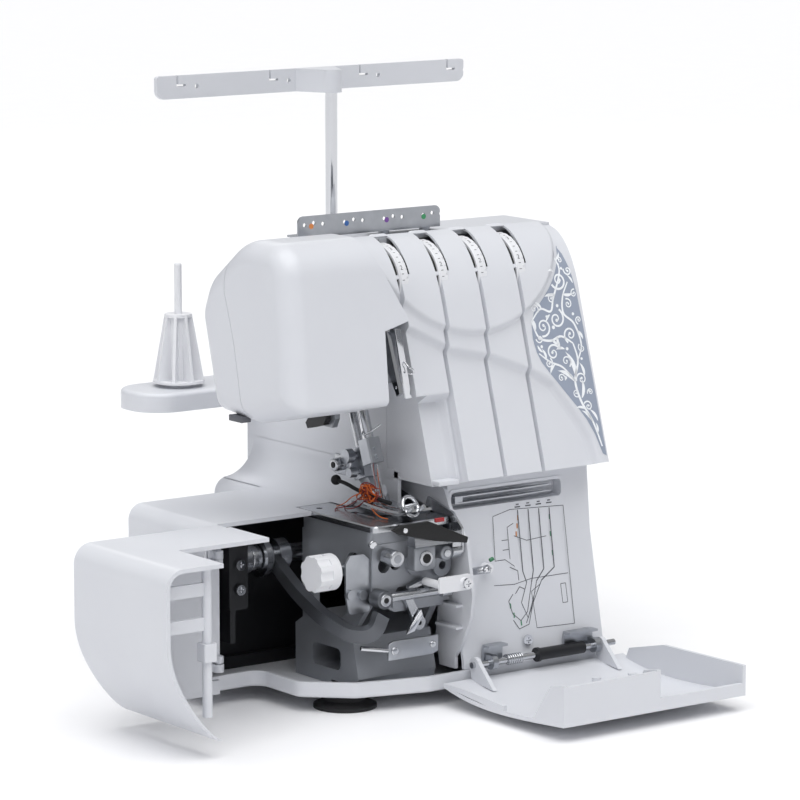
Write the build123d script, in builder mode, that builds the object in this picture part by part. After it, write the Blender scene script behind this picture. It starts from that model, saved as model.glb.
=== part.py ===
"""Four-thread overlock sewing machine (serger), with its side door and looper cover open.

Millimetres, +Z up, +X to the machine's right (handwheel side), +Y to its back.
The origin is on the table, under the middle of the machine's bounding box.
"""

import os
from math import atan2, cos, degrees, radians, sin

from build123d import *

# ---- shared values -------------------------------------------------------------------------
wall = 2.6  # moulded casing wall
gap = 0.4  # parting gap between two moulded covers
run = 0.05  # radial clearance of a running fit
free = 0.5  # clearance between parts that pass each other

# body block (pillar) and bed
body_left = 12.0
body_right = 142.0
body_back = 158.0
body_front = -10.0
body_top = 290.0
case_low = 20.3  # underside of the casings, on the tray's rim
ledge_top = 168.0  # back ledge that carries the spool stand
upper_back = 118.0  # back of the body above the ledge
bed_left = -116.0
bed_front = 16.0
bed_back = 105.0
bed_top = 118.0
rear_bed_left = -20.0
rear_bed_back = 150.0

# tray and feet
tray_low = 10.0
tray_thick = 3.0
tray_front = -58.0
foot_radius = 20.0
neck_radius = 13.0
foot_front, foot_rear = -22.0, 128.0
foot_left, foot_right = -38.0, 122.0
foot_left_rear = 0.0

# head
head_left = -101.0
head_low = 184.0
head_top = 296.5
head_front = -52.0
head_back = 47.5
head_round = 26.0

# upper front panel
panel_low = 142.0
panel_toe = -61.0  # front of its lower edge
panel_knee = -25.5  # front of its upper edge, where it rounds over
knee_z = 262.0
panel_end = 1.6  # where the panel meets the body casing on top
panel_left = 33.0  # left edge of its full-depth field
panel_recess = 3.0
slot_right = 4.0  # right side of the take-up slot
slot_low, slot_high = 196.0, 242.0
dome_x, dome_z, dome_radius = 57.0, 309.0, 81.0

# tension dials
dial_count = 4
dial_first = 4.6
dial_pitch = 30.7
dial_y, dial_z = -3.0, 262.0
dial_radius = 25.0
dial_width = 7.0
slot_width = 9.4
slot_low_z = 265.5  # bottom of a dial slot

# arm casting inside the head and body
arm_front, arm_back = -18.0, 30.0
arm_low, arm_top = 200.0, 235.0

# main shaft and drive
shaft_y, shaft_z = 40.0, 88.0
shaft_radius = 6.0
shaft_left, shaft_right = -106.0, 166.0
wheel_radius = 35.0
wheel_width = 24.0
main_pulley_radius = 30.0
motor_pulley_radius = 8.0
motor_y, motor_z = 112.0, 62.0
motor_radius = 27.0
shaft_bush = 2.3  # wall of the plain bushes
pulley_x = 117.0
pulley_width = 9.0

# needle and presser bars, both leaning with their lower ends forward
bar_lean = 20.0
bar_x = -8.0
needle_y, needle_z = -8.0, 159.0  # a point on the needle bar
presser_x, presser_y, presser_z = -2.0, 8.0, 150.0  # a point on the presser bar
needle_bar_radius = 3.6
presser_bar_radius = 3.2

# needle plate and frame
plate_left, plate_right = -36.0, 24.0
plate_front, plate_back = -50.0, 34.0
plate_thick = 4.0
deck_top = bed_top - plate_thick
frame_back = 30.0
block_left = -42.0
feed_rows = (bar_x - 8.5, bar_x + 8.5)
feed_width, feed_length, feed_y = 3.4, 22.4, -14.0

# looper cover and its hinge
cover_axis_y, cover_axis_z = -64.0, 24.5
cover_left, cover_right = 10.0, 155.0
cover_height = 117.0
cover_front = -18.0  # front wall from the hinge axis, when closed
cover_slide = 7.0
ear_left, ear_right = 33.0, 134.0
ear_thick = 3.0
hinge_rod_radius = 2.0

# side door and its hinge
door_axis_x, door_axis_y = -112.0, 9.0
door_length = 102.0
door_reach = 101.0  # hinge axis to outer wall
door_low = 6.0

# spool stand and antenna
stand_left, stand_right = -81.0, 215.0
stand_front, stand_back = 133.0, 183.0
stand_thick = 12.5
spool_first = -42.0
spool_pitch = 72.7
spool_y = 158.0
pin_radius = 2.5
pin_height = 81.0
cone_height = 45.0
mast_x, mast_y = 68.0, 140.0
mast_radius = 4.0
mast_wall = 1.2
mast_top = 372.0
antenna_low = 368.0
antenna_height = 15.0
antenna_half = 124.0
antenna_y = 158.0

os.makedirs("parts", exist_ok=True)


def save(piece, name):
    """Label a finished piece and write it to its STEP file."""
    piece.part.label = name
    export_step(piece.part, f"parts/{name}.step")


def bar_plane(x, y, z, along):
    """A plane square to a leaning bar, a given distance up it from the point (x, y, z)."""
    lean = radians(bar_lean)
    up = (0, sin(lean), cos(lean))
    at = (x, y + along * up[1], z + along * up[2])
    return Plane(origin=at, x_dir=(1, 0, 0), z_dir=up)


def needle_plane(along):
    """A plane square to the needle bar, a given distance up it."""
    return bar_plane(bar_x, needle_y, needle_z, along)


def presser_plane(along):
    """A plane square to the presser bar, a given distance up it."""
    return bar_plane(presser_x, presser_y, presser_z, along)


# ---- tray and feet -------------------------------------------------------------------------
tray_outline = [
    (-73, 22),
    (-73, -20),
    (-46, -45),
    (2, tray_front),
    (body_right, tray_front),
    (body_right, body_back),
    (rear_bed_left, body_back),
    (rear_bed_left, bed_back),
    (bed_left, bed_back),
    (bed_left, 22),
]
foot_places = [
    (foot_left, foot_front),
    (foot_left_rear, foot_rear),
    (foot_right, foot_front),
    (foot_right, foot_rear),
]
foot_stem = neck_radius - 4
stem_top = tray_low + tray_thick + 2
with BuildPart() as base_tray:
    with BuildSketch(Plane.XY.offset(tray_low)) as tray_floor:
        with BuildLine():
            Polyline(*tray_outline, close=True)
        make_face()
        fillet(tray_floor.vertices(), 9)
    extrude(amount=case_low - 0.3 - tray_low)
    with BuildSketch(Plane.XY.offset(tray_low + tray_thick)) as tray_inside:
        with BuildLine():
            Polyline(*tray_outline, close=True)
        make_face()
        fillet(tray_inside.vertices(), 9)
        offset(amount=-wall)
    extrude(amount=20, mode=Mode.SUBTRACT)
    with BuildSketch(Plane.XY.offset(tray_low)):
        with Locations(*foot_places):
            Circle(foot_stem + gap)
    extrude(amount=20, mode=Mode.SUBTRACT)
    fillet(base_tray.faces().sort_by(Axis.Z)[0].outer_wire().edges(), 2)
save(base_tray, "base_tray")

with BuildPart() as rubber_feet:
    with BuildSketch(Plane.XZ) as foot_half:
        with BuildLine():
            Polyline(
                (0, 0),
                (foot_radius, 0),
                (foot_radius, 2),
                (foot_radius - 5, 4.2),
                (neck_radius, 5),
                (neck_radius, 8.2),
                (neck_radius - 2.5, 8.8),
                (neck_radius, tray_low),
                (foot_stem, tray_low),
                (foot_stem, stem_top),
                (0, stem_top),
                close=True,
            )
        make_face()
    revolve(axis=Axis.Z)
    one_foot = rubber_feet.part
with BuildPart() as rubber_feet:
    for place in foot_places:
        add(one_foot.moved(Location((*place, 0))))
save(rubber_feet, "rubber_feet")

# ---- bed and pillar casings ----------------------------------------------------------------
bed_round = 10.0
web_round = 25.0
door_pin = 1.6
lug_lows = (26.3, 98.0)
lug_tall = 5.0
bed_end = body_left - gap


def bed_profile(left, inset):
    """Front view of the bed: rounded outer edge, flat top, hollow web up to the pillar."""
    top = bed_top - inset
    end = bed_end
    r = web_round + inset
    Polyline((end, case_low), (left + inset, case_low), (left + inset, top - bed_round))
    RadiusArc((left + inset, top - bed_round), (left + inset + bed_round, top), bed_round)
    Line((left + inset + bed_round, top), (end - r, top))
    RadiusArc((end - r, top), (end, top + r), -r)
    Line((end, top + r), (end, case_low))


with BuildPart() as bed_casing:
    for left, front, back in (
        (bed_left, bed_front, bed_back),
        (rear_bed_left, bed_back, rear_bed_back),
    ):
        with BuildSketch(Plane.XZ.offset(-front)):
            with BuildLine():
                bed_profile(left, 0)
            make_face()
        extrude(amount=-(back - front))
    with BuildSketch(Plane.XZ.offset(-bed_front)):
        with BuildLine():
            bed_profile(bed_left, wall)
        make_face()
    extrude(amount=-(bed_back - bed_front - wall), mode=Mode.SUBTRACT)
    with BuildSketch(Plane.XZ.offset(-(bed_back - wall))):
        with BuildLine():
            bed_profile(rear_bed_left, wall)
        make_face()
    extrude(amount=-(rear_bed_back - bed_back), mode=Mode.SUBTRACT)
    # seat for the back of the needle plate
    with BuildSketch(Plane.XY.offset(deck_top - gap)):
        with Locations((((plate_left - gap) + bed_end + 1) / 2, (bed_front - 1 + plate_back + gap) / 2)):
            Rectangle(bed_end + 1 - plate_left + gap, plate_back + gap - bed_front + 1)
    extrude(amount=plate_thick + 2 * gap, mode=Mode.SUBTRACT)
    # lugs that carry the side door
    for low in lug_lows:
        with BuildSketch(Plane.XY.offset(low)):
            with Locations((door_axis_x, door_axis_y)):
                Circle(2 * door_pin)
            with Locations((door_axis_x, (door_axis_y + bed_front + 8) / 2)):
                Rectangle(4 * door_pin, bed_front + 8 - door_axis_y)
            with Locations((door_axis_x, door_axis_y)):
                Circle(door_pin + run, mode=Mode.SUBTRACT)
        extrude(amount=lug_tall)
save(bed_casing, "bed_casing")

body_side = [
    (body_front, case_low),
    (body_back, case_low),
    (body_back, ledge_top),
    (upper_back, ledge_top),
    (104, 236),
    (62, body_top),
    (body_front, body_top),
]
arm_opening_low = 186.0
with BuildPart() as pillar_casing:
    with BuildSketch(Plane.YZ.offset(body_left)) as side_view:
        with BuildLine():
            Polyline(*body_side, close=True)
        make_face()
        fillet(side_view.vertices().sort_by_distance((body_back, ledge_top, 0))[0], 5)
        fillet(side_view.vertices().sort_by_distance((104, 236, 0))[0], 60)
        fillet(side_view.vertices().sort_by_distance((62, body_top, 0))[0], 30)
    extrude(amount=body_right - body_left)
    with BuildSketch(Plane.YZ.offset(body_left + wall)) as side_inside:
        with BuildLine():
            Polyline(*body_side, close=True)
        make_face()
        fillet(side_inside.vertices().sort_by_distance((104, 236, 0))[0], 60)
        fillet(side_inside.vertices().sort_by_distance((62, body_top, 0))[0], 30)
        offset(amount=-wall)
    extrude(amount=body_right - body_left - 2 * wall, mode=Mode.SUBTRACT)
    # open front and underside
    with BuildSketch(Plane.XY.offset(case_low)):
        with Locations(((body_left + body_right) / 2, (body_back + body_front) / 2 - wall)):
            Rectangle(body_right - body_left - 2 * wall, body_back - body_front)
    extrude(amount=10, mode=Mode.SUBTRACT)
    with BuildSketch(Plane.XZ.offset(-body_front)):
        with Locations(((body_left + body_right) / 2, 150)):
            Rectangle(body_right - body_left - 2 * wall, 400)
        with Locations(((body_left + body_right) / 2, panel_low - gap + 100)):
            Rectangle(body_right - body_left + 2, 200)
    extrude(amount=-(panel_end + gap - body_front), mode=Mode.SUBTRACT)
    # left wall: arm opening above, mechanism opening below
    with BuildSketch(Plane.YZ.offset(body_left - 1)):
        with Locations((20, (arm_opening_low + 280) / 2)):
            Rectangle(60, 280 - arm_opening_low)
        with Locations((35, (24 + 112) / 2)):
            Rectangle(100, 112 - 24)
        with Locations(((body_front + plate_back + gap) / 2, (case_low + bed_top + gap) / 2)):
            Rectangle(plate_back + gap - body_front + 0.1, bed_top + gap - case_low + 0.1)
    extrude(amount=wall + 2, mode=Mode.SUBTRACT)
    # right wall: shaft hole, two dial holes, switch window; back: inlet window, vents
    with BuildSketch(Plane.YZ.offset(body_right + 1)):
        with Locations((shaft_y, shaft_z)):
            Circle(shaft_radius + 3)
        with Locations((108, 110), (108, 60)):
            Circle(6.2)
        with Locations((20, 42)):
            Rectangle(14.8, 21.8)
    extrude(amount=-wall - 2, mode=Mode.SUBTRACT)
    with BuildSketch(Plane.XZ.offset(-body_back - 1)):
        with Locations((100, 44)):
            Rectangle(24.6, 18.6)
        with GridLocations(9, 0, 8, 1):
            with Locations((62, 120)):
                SlotOverall(30, 3, rotation=90)
    extrude(amount=wall + 2, mode=Mode.SUBTRACT)
    with BuildSketch(Plane.XY.offset(ledge_top + 1)):
        with Locations((mast_x, mast_y)):
            Circle(mast_radius + 2.5)
    extrude(amount=-wall - 2, mode=Mode.SUBTRACT)
save(pillar_casing, "pillar_casing")

# ---- upper front panel ---------------------------------------------------------------------
panel_side = [
    (panel_toe, panel_low),
    (panel_knee, knee_z),
    (panel_knee + 7, knee_z + 16.5),
    (dial_y, dial_z + dial_radius - 2.0),
    (panel_end, body_top - 1),
    (panel_end, panel_low),
]
dome_depth = 2.0


def panel_slab(left, right, inset, deeper=0.0):
    """A solid as wide as stated, with the panel's side profile moved inwards by inset."""
    with BuildPart() as slab:
        with BuildSketch(Plane.YZ.offset(left)) as side:
            with BuildLine():
                Polyline(*panel_side, close=True)
            make_face()
            fillet(side.vertices().sort_by_distance((*panel_side[2], 0))[0], 12)
            fillet(side.vertices().sort_by_distance((*panel_side[1], 0))[0], 12)
            fillet(side.vertices().sort_by_distance((*panel_side[3], 0))[0], 10)
            if inset:
                offset(amount=-inset)
        extrude(amount=right - left)
        if deeper:
            with BuildSketch(Plane.XZ.offset(-panel_end + inset + 0.01)):
                with Locations(((left + right) / 2, (panel_low + body_top) / 2 - inset + 0.5)):
                    Rectangle(right - left, body_top - panel_low - 3 * inset)
            extrude(amount=-deeper)
    return slab.part


def front_outline(inset):
    """Front view of the panel, stepped round the take-up slot and the looper area."""
    left, right = -24.0 + inset, body_right - inset
    slot_x = slot_right + inset
    Polyline(
        (left, 310),
        (left, slot_high + inset),
        (slot_x, slot_high + inset),
        (slot_x, slot_low + inset),
        (body_left + inset, slot_low + inset),
        (body_left + inset, panel_low + inset),
        (right, panel_low + inset),
        (right, 310),
        close=True,
    )


with BuildPart() as panel_core:
    add(panel_slab(-24 + wall, body_right - wall, wall, wall + 1))
    with BuildSketch(Plane.XZ.offset(80)):
        with BuildLine():
            front_outline(wall)
        make_face()
    extrude(amount=-100, mode=Mode.INTERSECT)
with BuildPart() as panel_shell:
    add(panel_slab(-24, body_right, 0))
    with BuildSketch(Plane.XZ.offset(80)):
        with BuildLine():
            front_outline(0)
        make_face()
    extrude(amount=-100, mode=Mode.INTERSECT)
    add(panel_core.part, mode=Mode.SUBTRACT)
    # recessed field left of the first long groove
    with BuildSketch(Plane.YZ.offset(body_left - 1)):
        with BuildLine():
            Polyline(
                (panel_toe - 1, panel_low - 1),
                (panel_toe + panel_recess, panel_low - 1),
                (panel_toe + panel_recess + (slot_low - panel_low) * 35.5 / 120, slot_low),
                (panel_toe - 1 + (slot_low - panel_low) * 35.5 / 120, slot_low),
                close=True,
            )
        make_face()
    extrude(amount=panel_left - body_left + 1, mode=Mode.SUBTRACT)
with BuildPart() as panel_backing:
    with BuildSketch(Plane.YZ.offset(body_left)):
        with BuildLine():
            rise = slot_low - panel_low
            Polyline(
                (panel_toe + panel_recess, panel_low),
                (panel_toe + panel_recess + wall, panel_low),
                (panel_toe + panel_recess + wall + rise * 35.5 / 120, slot_low + wall),
                (panel_toe + panel_recess + rise * 35.5 / 120, slot_low + wall),
                close=True,
            )
        make_face()
    extrude(amount=panel_left - body_left + wall)
with BuildPart() as dome:
    add(panel_slab(-24, body_right, -dome_depth))
    add(panel_slab(-24, body_right, 0.6), mode=Mode.SUBTRACT)
    with BuildSketch(Plane.XZ.offset(80)):
        with Locations((dome_x, dome_z)):
            Circle(dome_radius)
        with Locations((dome_x, dome_z - 60)):
            Rectangle(dome_radius * 2, 120, mode=Mode.INTERSECT)
    extrude(amount=-(80 - 4), mode=Mode.INTERSECT)
    with BuildSketch(Plane.XZ.offset(80)):
        with Locations((dome_x + 2, 250)):
            Rectangle(dome_radius * 2 - 10, 120)
    extrude(amount=-(80 + dial_y), mode=Mode.INTERSECT)
with BuildPart() as tension_panel:
    add(panel_shell.part)
    add(panel_backing.part)
    add(dome.part)
    # thread grooves below each dial
    for i in range(1, dial_count):
        groove_left = dial_first + i * dial_pitch - slot_width / 2
        with BuildSketch(Plane.YZ.offset(groove_left)):
            with BuildLine():
                Polyline(
                    (panel_toe - 4, panel_low - 1),
                    (panel_toe + 1.2, panel_low - 1),
                    (panel_knee + 1.2, knee_z),
                    (panel_knee - 4, knee_z),
                    close=True,
                )
            make_face()
        extrude(amount=2.4, mode=Mode.SUBTRACT)
    # room for the arm in the slot's right wall
    with BuildSketch(Plane.YZ.offset(slot_right - 1)):
        with Locations(((arm_front - 2 + panel_end + 1) / 2, (arm_low + arm_top) / 2)):
            Rectangle(panel_end + 1 - arm_front + 2, arm_top - arm_low + 3)
    extrude(amount=wall + 3, mode=Mode.SUBTRACT)
    # dial slots, with room for the dials behind them
    for i in range(dial_count):
        with BuildSketch(Plane.YZ.offset(dial_first + i * dial_pitch - dial_width / 2 - 0.6)):
            with Locations((dial_y, dial_z)):
                Circle(dial_radius + 1)
        extrude(amount=dial_width + 1.2, mode=Mode.SUBTRACT)
        with BuildSketch(Plane.YZ.offset(dial_first + i * dial_pitch - slot_width / 2)):
            with Locations((dial_y - 16, slot_low_z + 15)):
                Rectangle(40, 30)
        extrude(amount=slot_width, mode=Mode.SUBTRACT)
save(tension_panel, "tension_panel")

# ---- head ----------------------------------------------------------------------------------
head_side = [
    (head_front - 5, 194.5),
    (head_front + 5, head_top),
    (2, head_top),
    (head_back - 8, 269),
    (head_back + 1.5, 247),
    (33, head_low + 2.5),
    (-9, head_low - 1),
]
head_rounds = [5, 22, 40, 30, 20, 7, 5]
head_edge = 14.0


def head_block(inset):
    """The head's solid form, moved inwards by inset; its left face has a wide round."""
    with BuildPart() as block:
        with BuildSketch(Plane.YZ.offset(head_left + inset)) as side:
            with BuildLine():
                Polyline(*head_side, close=True)
            make_face()
            for point, radius in zip(head_side, head_rounds):
                fillet(side.vertices().sort_by_distance((*point, 0))[0], radius)
            if inset:
                offset(amount=-inset)
        extrude(amount=bed_end - head_left - inset + (2 if inset else 0))
        fillet(block.faces().sort_by(Axis.X)[0].edges(), head_edge - inset)
    return block.part


seam = [(16, 310), (17, 263), (7, 233), (-6, 170)]
with BuildPart() as head_shell:
    add(head_block(0))
    add(head_block(wall), mode=Mode.SUBTRACT)
    add(panel_slab(-24 - gap, body_left + 5, -gap - dome_depth), mode=Mode.SUBTRACT)
    # slot in the underside for the two bars
    with BuildSketch(Plane.XY.offset(170)):
        with Locations((bar_x - 4, 10)):
            Rectangle(36, 56)
    extrude(amount=24, mode=Mode.SUBTRACT)
with BuildPart() as head_casing:
    add(head_shell.part)
    with BuildSketch(Plane.YZ.offset(head_left - 1)):
        with BuildLine():
            Polyline(*seam, (-90, 170), (-90, 310), close=True)
        make_face()
    extrude(amount=120, mode=Mode.SUBTRACT)
save(head_casing, "head_casing")
with BuildPart() as head_front_cover:
    add(head_shell.part)
    with BuildSketch(Plane.YZ.offset(head_left - 1)):
        with BuildLine():
            seam_front = [(y - gap, z) for y, z in seam]
            Polyline(*seam_front, (90, 170), (90, 310), close=True)
        make_face()
    extrude(amount=120, mode=Mode.SUBTRACT)
    with BuildSketch(Plane.XZ.offset(90)):
        with BuildLine():
            Polyline(
                (-37, 310),
                (-37, 292),
                (-10, 245),
                (-29, 240),
                (-29, 170),
                (60, 170),
                (60, 310),
                close=True,
            )
        make_face()
    extrude(amount=-100, mode=Mode.SUBTRACT)
save(head_front_cover, "head_front_cover")

# ---- lower front: threading diagram panel and looper surround ------------------------------
diagram_side = [(-38, 140), (-42, 96), (-56.5, 24), (-56.5, case_low)]
surround_x = 27.0
tray_mid, tray_z = 76.0, 125.0
recess_front = 39.2
tray_length, tray_tall, tray_depth = 88.0, 11.0, 8.0
diagram_left = surround_x + wall
with BuildPart() as diagram_panel:
    with BuildSketch(Plane.YZ.offset(diagram_left)):
        with BuildLine():
            back_line = [(y + wall, z) for y, z in diagram_side[::-1]]
            Polyline(*diagram_side, *back_line, close=True)
        make_face()
    extrude(amount=body_right - diagram_left)
    # right cheek back to the body casing
    with BuildSketch(Plane.YZ.offset(body_right - wall)):
        with BuildLine():
            Polyline(*diagram_side, (body_front - gap, case_low), (body_front - gap, 140), close=True)
        make_face()
    extrude(amount=wall)
    # recessed tray that holds the tweezers
    with BuildSketch(Plane.XZ.offset(recess_front)):
        with Locations((tray_mid, tray_z)):
            RectangleRounded(tray_length + 4, tray_tall + 4, 4)
    extrude(amount=-tray_depth - 2)
    with BuildSketch(Plane.XZ.offset(60)):
        with Locations((tray_mid, tray_z)):
            RectangleRounded(tray_length, tray_tall, 3)
    extrude(amount=-(60 - recess_front + tray_depth), mode=Mode.SUBTRACT)
save(diagram_panel, "diagram_panel")

with BuildPart() as looper_surround:
    with BuildSketch(Plane.YZ.offset(surround_x)) as surround_side:
        with BuildLine():
            Polyline(
                (12, 139),
                (-20, 139),
                (-38, 134),
                (-45, 121),
                (-62, 103),
                (-68, 70),
                (-66, 56),
                (-57, 37),
                (-50, 28),
                (-50, case_low),
                (-34, case_low),
                (-30, 40),
                (-34, 70),
                (-30, 118),
                (12, 128),
                close=True,
            )
        make_face()
        fillet(surround_side.vertices().filter_by(lambda v: 30 < v.Y < 137 and v.X < -35), 6)
    extrude(amount=wall - gap / 2)
    for rib_z in (48, 62, 78):
        with BuildSketch(Plane.YZ.offset(surround_x)):
            with Locations((-47, rib_z)):
                Rectangle(22, 1.6)
        extrude(amount=-5)
save(looper_surround, "looper_surround")

# ---- frame castings ------------------------------------------------------------------------
with BuildPart() as frame_casting:
    with BuildSketch(Plane.XY.offset(deck_top - 9)) as deck:
        with Locations(((plate_left + plate_right) / 2, (plate_front + frame_back) / 2 + 2)):
            RectangleRounded(plate_right - plate_left - 2, frame_back - plate_front - 4, 5)
    extrude(amount=9)
    with BuildSketch(Plane.XZ.offset(-plate_front - 3)) as front_wall:
        with BuildLine():
            Polyline((-35, 106), (-35, 72), (-18, 62), (20, 62), (20, 106), close=True)
        make_face()
        with Locations((-26, 92)):
            Circle(4.5, mode=Mode.SUBTRACT)
        with Locations((-17, 93)):
            Circle(4.5, mode=Mode.SUBTRACT)
        with Locations((-6, 74)):
            SlotOverall(22, 7, mode=Mode.SUBTRACT)
    extrude(amount=-4)
    with BuildSketch(Plane.YZ.offset(plate_left + 1)) as side_wall:
        with BuildLine():
            Polyline((-47, 106), (-47, 72), (-20, 40), (28, 40), (28, 106), close=True)
        make_face()
        with Locations((-30, 92)):
            SlotOverall(20, 13, mode=Mode.SUBTRACT)
        with Locations((-2, 70)):
            RectangleRounded(34, 30, 6, mode=Mode.SUBTRACT)
    extrude(amount=4)
    with BuildSketch(Plane.XZ.offset(-plate_front - 3)):
        with Locations((-3, 91), (17, 88)):
            Circle(7)
    extrude(amount=3)
    with BuildSketch(Plane.XZ.offset(-plate_front)):
        with Locations((17, 88)):
            Circle(2.6)
    extrude(amount=-9, mode=Mode.SUBTRACT)
    # ledge that carries the knife rail, then the sloped lower block
    with BuildSketch(Plane.YZ.offset(-20)):
        with Locations((-44, 69)):
            Rectangle(8, 8)
    extrude(amount=44)
    block_low = tray_low + tray_thick + 0.2
    with BuildSketch(Plane.YZ.offset(block_left)) as lower_block:
        with BuildLine():
            Polyline((-36, 46), (-42, 21), (-39, block_low), (26, block_low), (26, 46), (10, 56), close=True)
        make_face()
        with Locations((-8, 30)):
            RectangleRounded(30, 14, 4, mode=Mode.SUBTRACT)
    extrude(amount=plate_right - 6 - block_left)
    with BuildSketch(Plane.XY.offset(tray_low)):
        with Locations(*foot_places):
            Circle(foot_stem + 1)
    extrude(amount=stem_top + 1 - tray_low, mode=Mode.SUBTRACT)
    # bearing wall towards the main shaft
    with BuildSketch(Plane.YZ.offset(plate_right - 8)):
        with BuildLine():
            Polyline((-40, 106), (-40, 62), (-30, 46), (26, 46), (26, 106), close=True)
        make_face()
    extrude(amount=5)
    # clear the feed dog and the loopers
    with BuildSketch(Plane.XY.offset(58)):
        with Locations((bar_x, feed_y)):
            Rectangle(26, 46)
    extrude(amount=60, mode=Mode.SUBTRACT)
save(frame_casting, "frame_casting")

bracket_y = 19.0
bush_fit = 0.05
with BuildPart() as inner_wall:
    with BuildSketch(Plane.XZ.offset(-64)):
        with Locations((-52, 66)):
            Rectangle(116, 90)
        with Locations((shaft_left + 16, shaft_z)):
            Circle(1)
    extrude(amount=-3)
    with BuildSketch(Plane.YZ.offset(-96)):
        with BuildLine():
            Polyline((20, 40), (64, 40), (64, 106), (20, 106), close=True)
        make_face()
    extrude(amount=4)
    with BuildSketch(Plane.YZ.offset(-97)):
        with Locations((shaft_y, shaft_z)):
            Circle(shaft_radius + shaft_bush + bush_fit)
    extrude(amount=6, mode=Mode.SUBTRACT)
    with BuildSketch(Plane.XZ.offset(-bracket_y)):
        with Locations((-90, 82)):
            RectangleRounded(14, 42, 2)
    extrude(amount=-3)
    with BuildSketch(Plane.XY.offset(tray_low + tray_thick)):
        with Locations((-52, 65.5)):
            Rectangle(116, 12)
    extrude(amount=8)
save(inner_wall, "inner_wall")

bush_wall = 2.0
lifter_x = -22.0
lifter_y, lifter_z = 20.0, 177.0
lifter_pin = 2.4
rocker_y, rocker_z = -4.0, 216.0
rocker_radius = 4.5
take_x = -14.0
take_thick = 2.6
arm_left = head_left + 14
pocket_wall = 5.5
pocket_right = 7.0
leg_left, leg_thick = 30.0, 16.0
with BuildPart() as arm_casting:
    with BuildSketch(Plane.YZ.offset(arm_left)):
        with Locations(((arm_front + arm_back) / 2, (arm_low + arm_top) / 2)):
            RectangleRounded(arm_back - arm_front, arm_top - arm_low, 5)
    extrude(amount=body_right - wall - 1 - arm_left)
    # tower round the upper needle bar bush
    with BuildSketch(Plane.XY.offset(arm_top - 6)):
        with Locations((bar_x - 1, 22)):
            RectangleRounded(13.6, 24, 3)
    extrude(amount=20)
    # leg down to the main shaft's inner bearing
    with BuildSketch(Plane.YZ.offset(leg_left)):
        with BuildLine():
            Polyline((8, 216), (37, 216), (60, 150), (60, 60), (26, 60), (22, 110), (8, 150), close=True)
        make_face()
    extrude(amount=leg_thick)
    with BuildSketch(Plane.YZ.offset(arm_left - 1)):
        with Locations(((arm_front + arm_back) / 2, (arm_low + arm_top) / 2)):
            RectangleRounded(
                arm_back - arm_front - 2 * pocket_wall, arm_top - arm_low - 2 * pocket_wall, 3
            )
    extrude(amount=pocket_right - arm_left + 1, mode=Mode.SUBTRACT)
    # lug for the presser lifter
    with BuildSketch(Plane.YZ.offset(lifter_x + 1)):
        with BuildLine():
            Polyline((12, 206), (12, 176), (15, 170), (25, 170), (28, 176), (28, 206), close=True)
        make_face()
        with Locations((lifter_y, lifter_z)):
            Circle(lifter_pin + run, mode=Mode.SUBTRACT)
    extrude(amount=4)
    for place, radius in (
        (needle_plane(0), needle_bar_radius),
        (presser_plane(0), presser_bar_radius),
    ):
        with BuildSketch(place):
            Circle(radius + bush_wall + bush_fit)
        extrude(amount=160, mode=Mode.SUBTRACT)
    # slot for the take-up lever, bearing for the rocker shaft
    with BuildSketch(Plane.XZ.offset(-arm_front + 2)):
        with Locations((take_x + take_thick / 2, (arm_low + arm_top) / 2)):
            Rectangle(take_thick + 6, arm_top - arm_low + 4)
    extrude(amount=-(pocket_wall + 3), mode=Mode.SUBTRACT)
    with BuildSketch(Plane.YZ.offset(pocket_right - 1)):
        with Locations((rocker_y, rocker_z)):
            Circle(rocker_radius + run)
    extrude(amount=14, mode=Mode.SUBTRACT)
    with BuildSketch(Plane.YZ.offset(body_left)):
        with Locations((shaft_y, shaft_z)):
            Circle(shaft_radius + shaft_bush + bush_fit)
    extrude(amount=60, mode=Mode.SUBTRACT)
save(arm_casting, "arm_casting")

with BuildPart() as needle_plate:
    with BuildSketch(Plane.XY.offset(deck_top)) as plate_plan:
        with Locations(((plate_left + plate_right) / 2, (plate_front + plate_back) / 2)):
            RectangleRounded(plate_right - plate_left, plate_back - plate_front, 4)
        with Locations(*[(x, feed_y) for x in feed_rows]):
            Rectangle(feed_width + 1.2, feed_length + 5, mode=Mode.SUBTRACT)
        with Locations((bar_x, -23.5)):
            SlotOverall(9, 7, mode=Mode.SUBTRACT)
        with Locations((plate_left + 10, plate_back - 12)):
            Circle(2.1, mode=Mode.SUBTRACT)
    extrude(amount=plate_thick)
    chamfer(needle_plate.faces().sort_by(Axis.Z)[-1].outer_wire().edges(), 0.8)
save(needle_plate, "needle_plate")

feed_pitch = 1.6
with BuildPart() as feed_dog:
    for x in feed_rows:
        with BuildSketch(Plane.YZ.offset(x - feed_width / 2)):
            with BuildLine():
                start = feed_y - feed_length / 2
                teeth = []
                for i in range(int(feed_length / feed_pitch)):
                    y = start + i * feed_pitch
                    teeth += [(y, bed_top - 0.6), (y + feed_pitch * 0.8, bed_top + 0.4)]
                Polyline((start, 106), *teeth, (start + feed_length, 106), close=True)
            make_face()
        extrude(amount=feed_width)
    with BuildSketch(Plane.XY.offset(103)):
        with Locations((bar_x, feed_y)):
            Rectangle(feed_rows[1] - feed_rows[0] + feed_width, feed_length - 4)
    extrude(amount=4)
save(feed_dog, "feed_dog")

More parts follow.
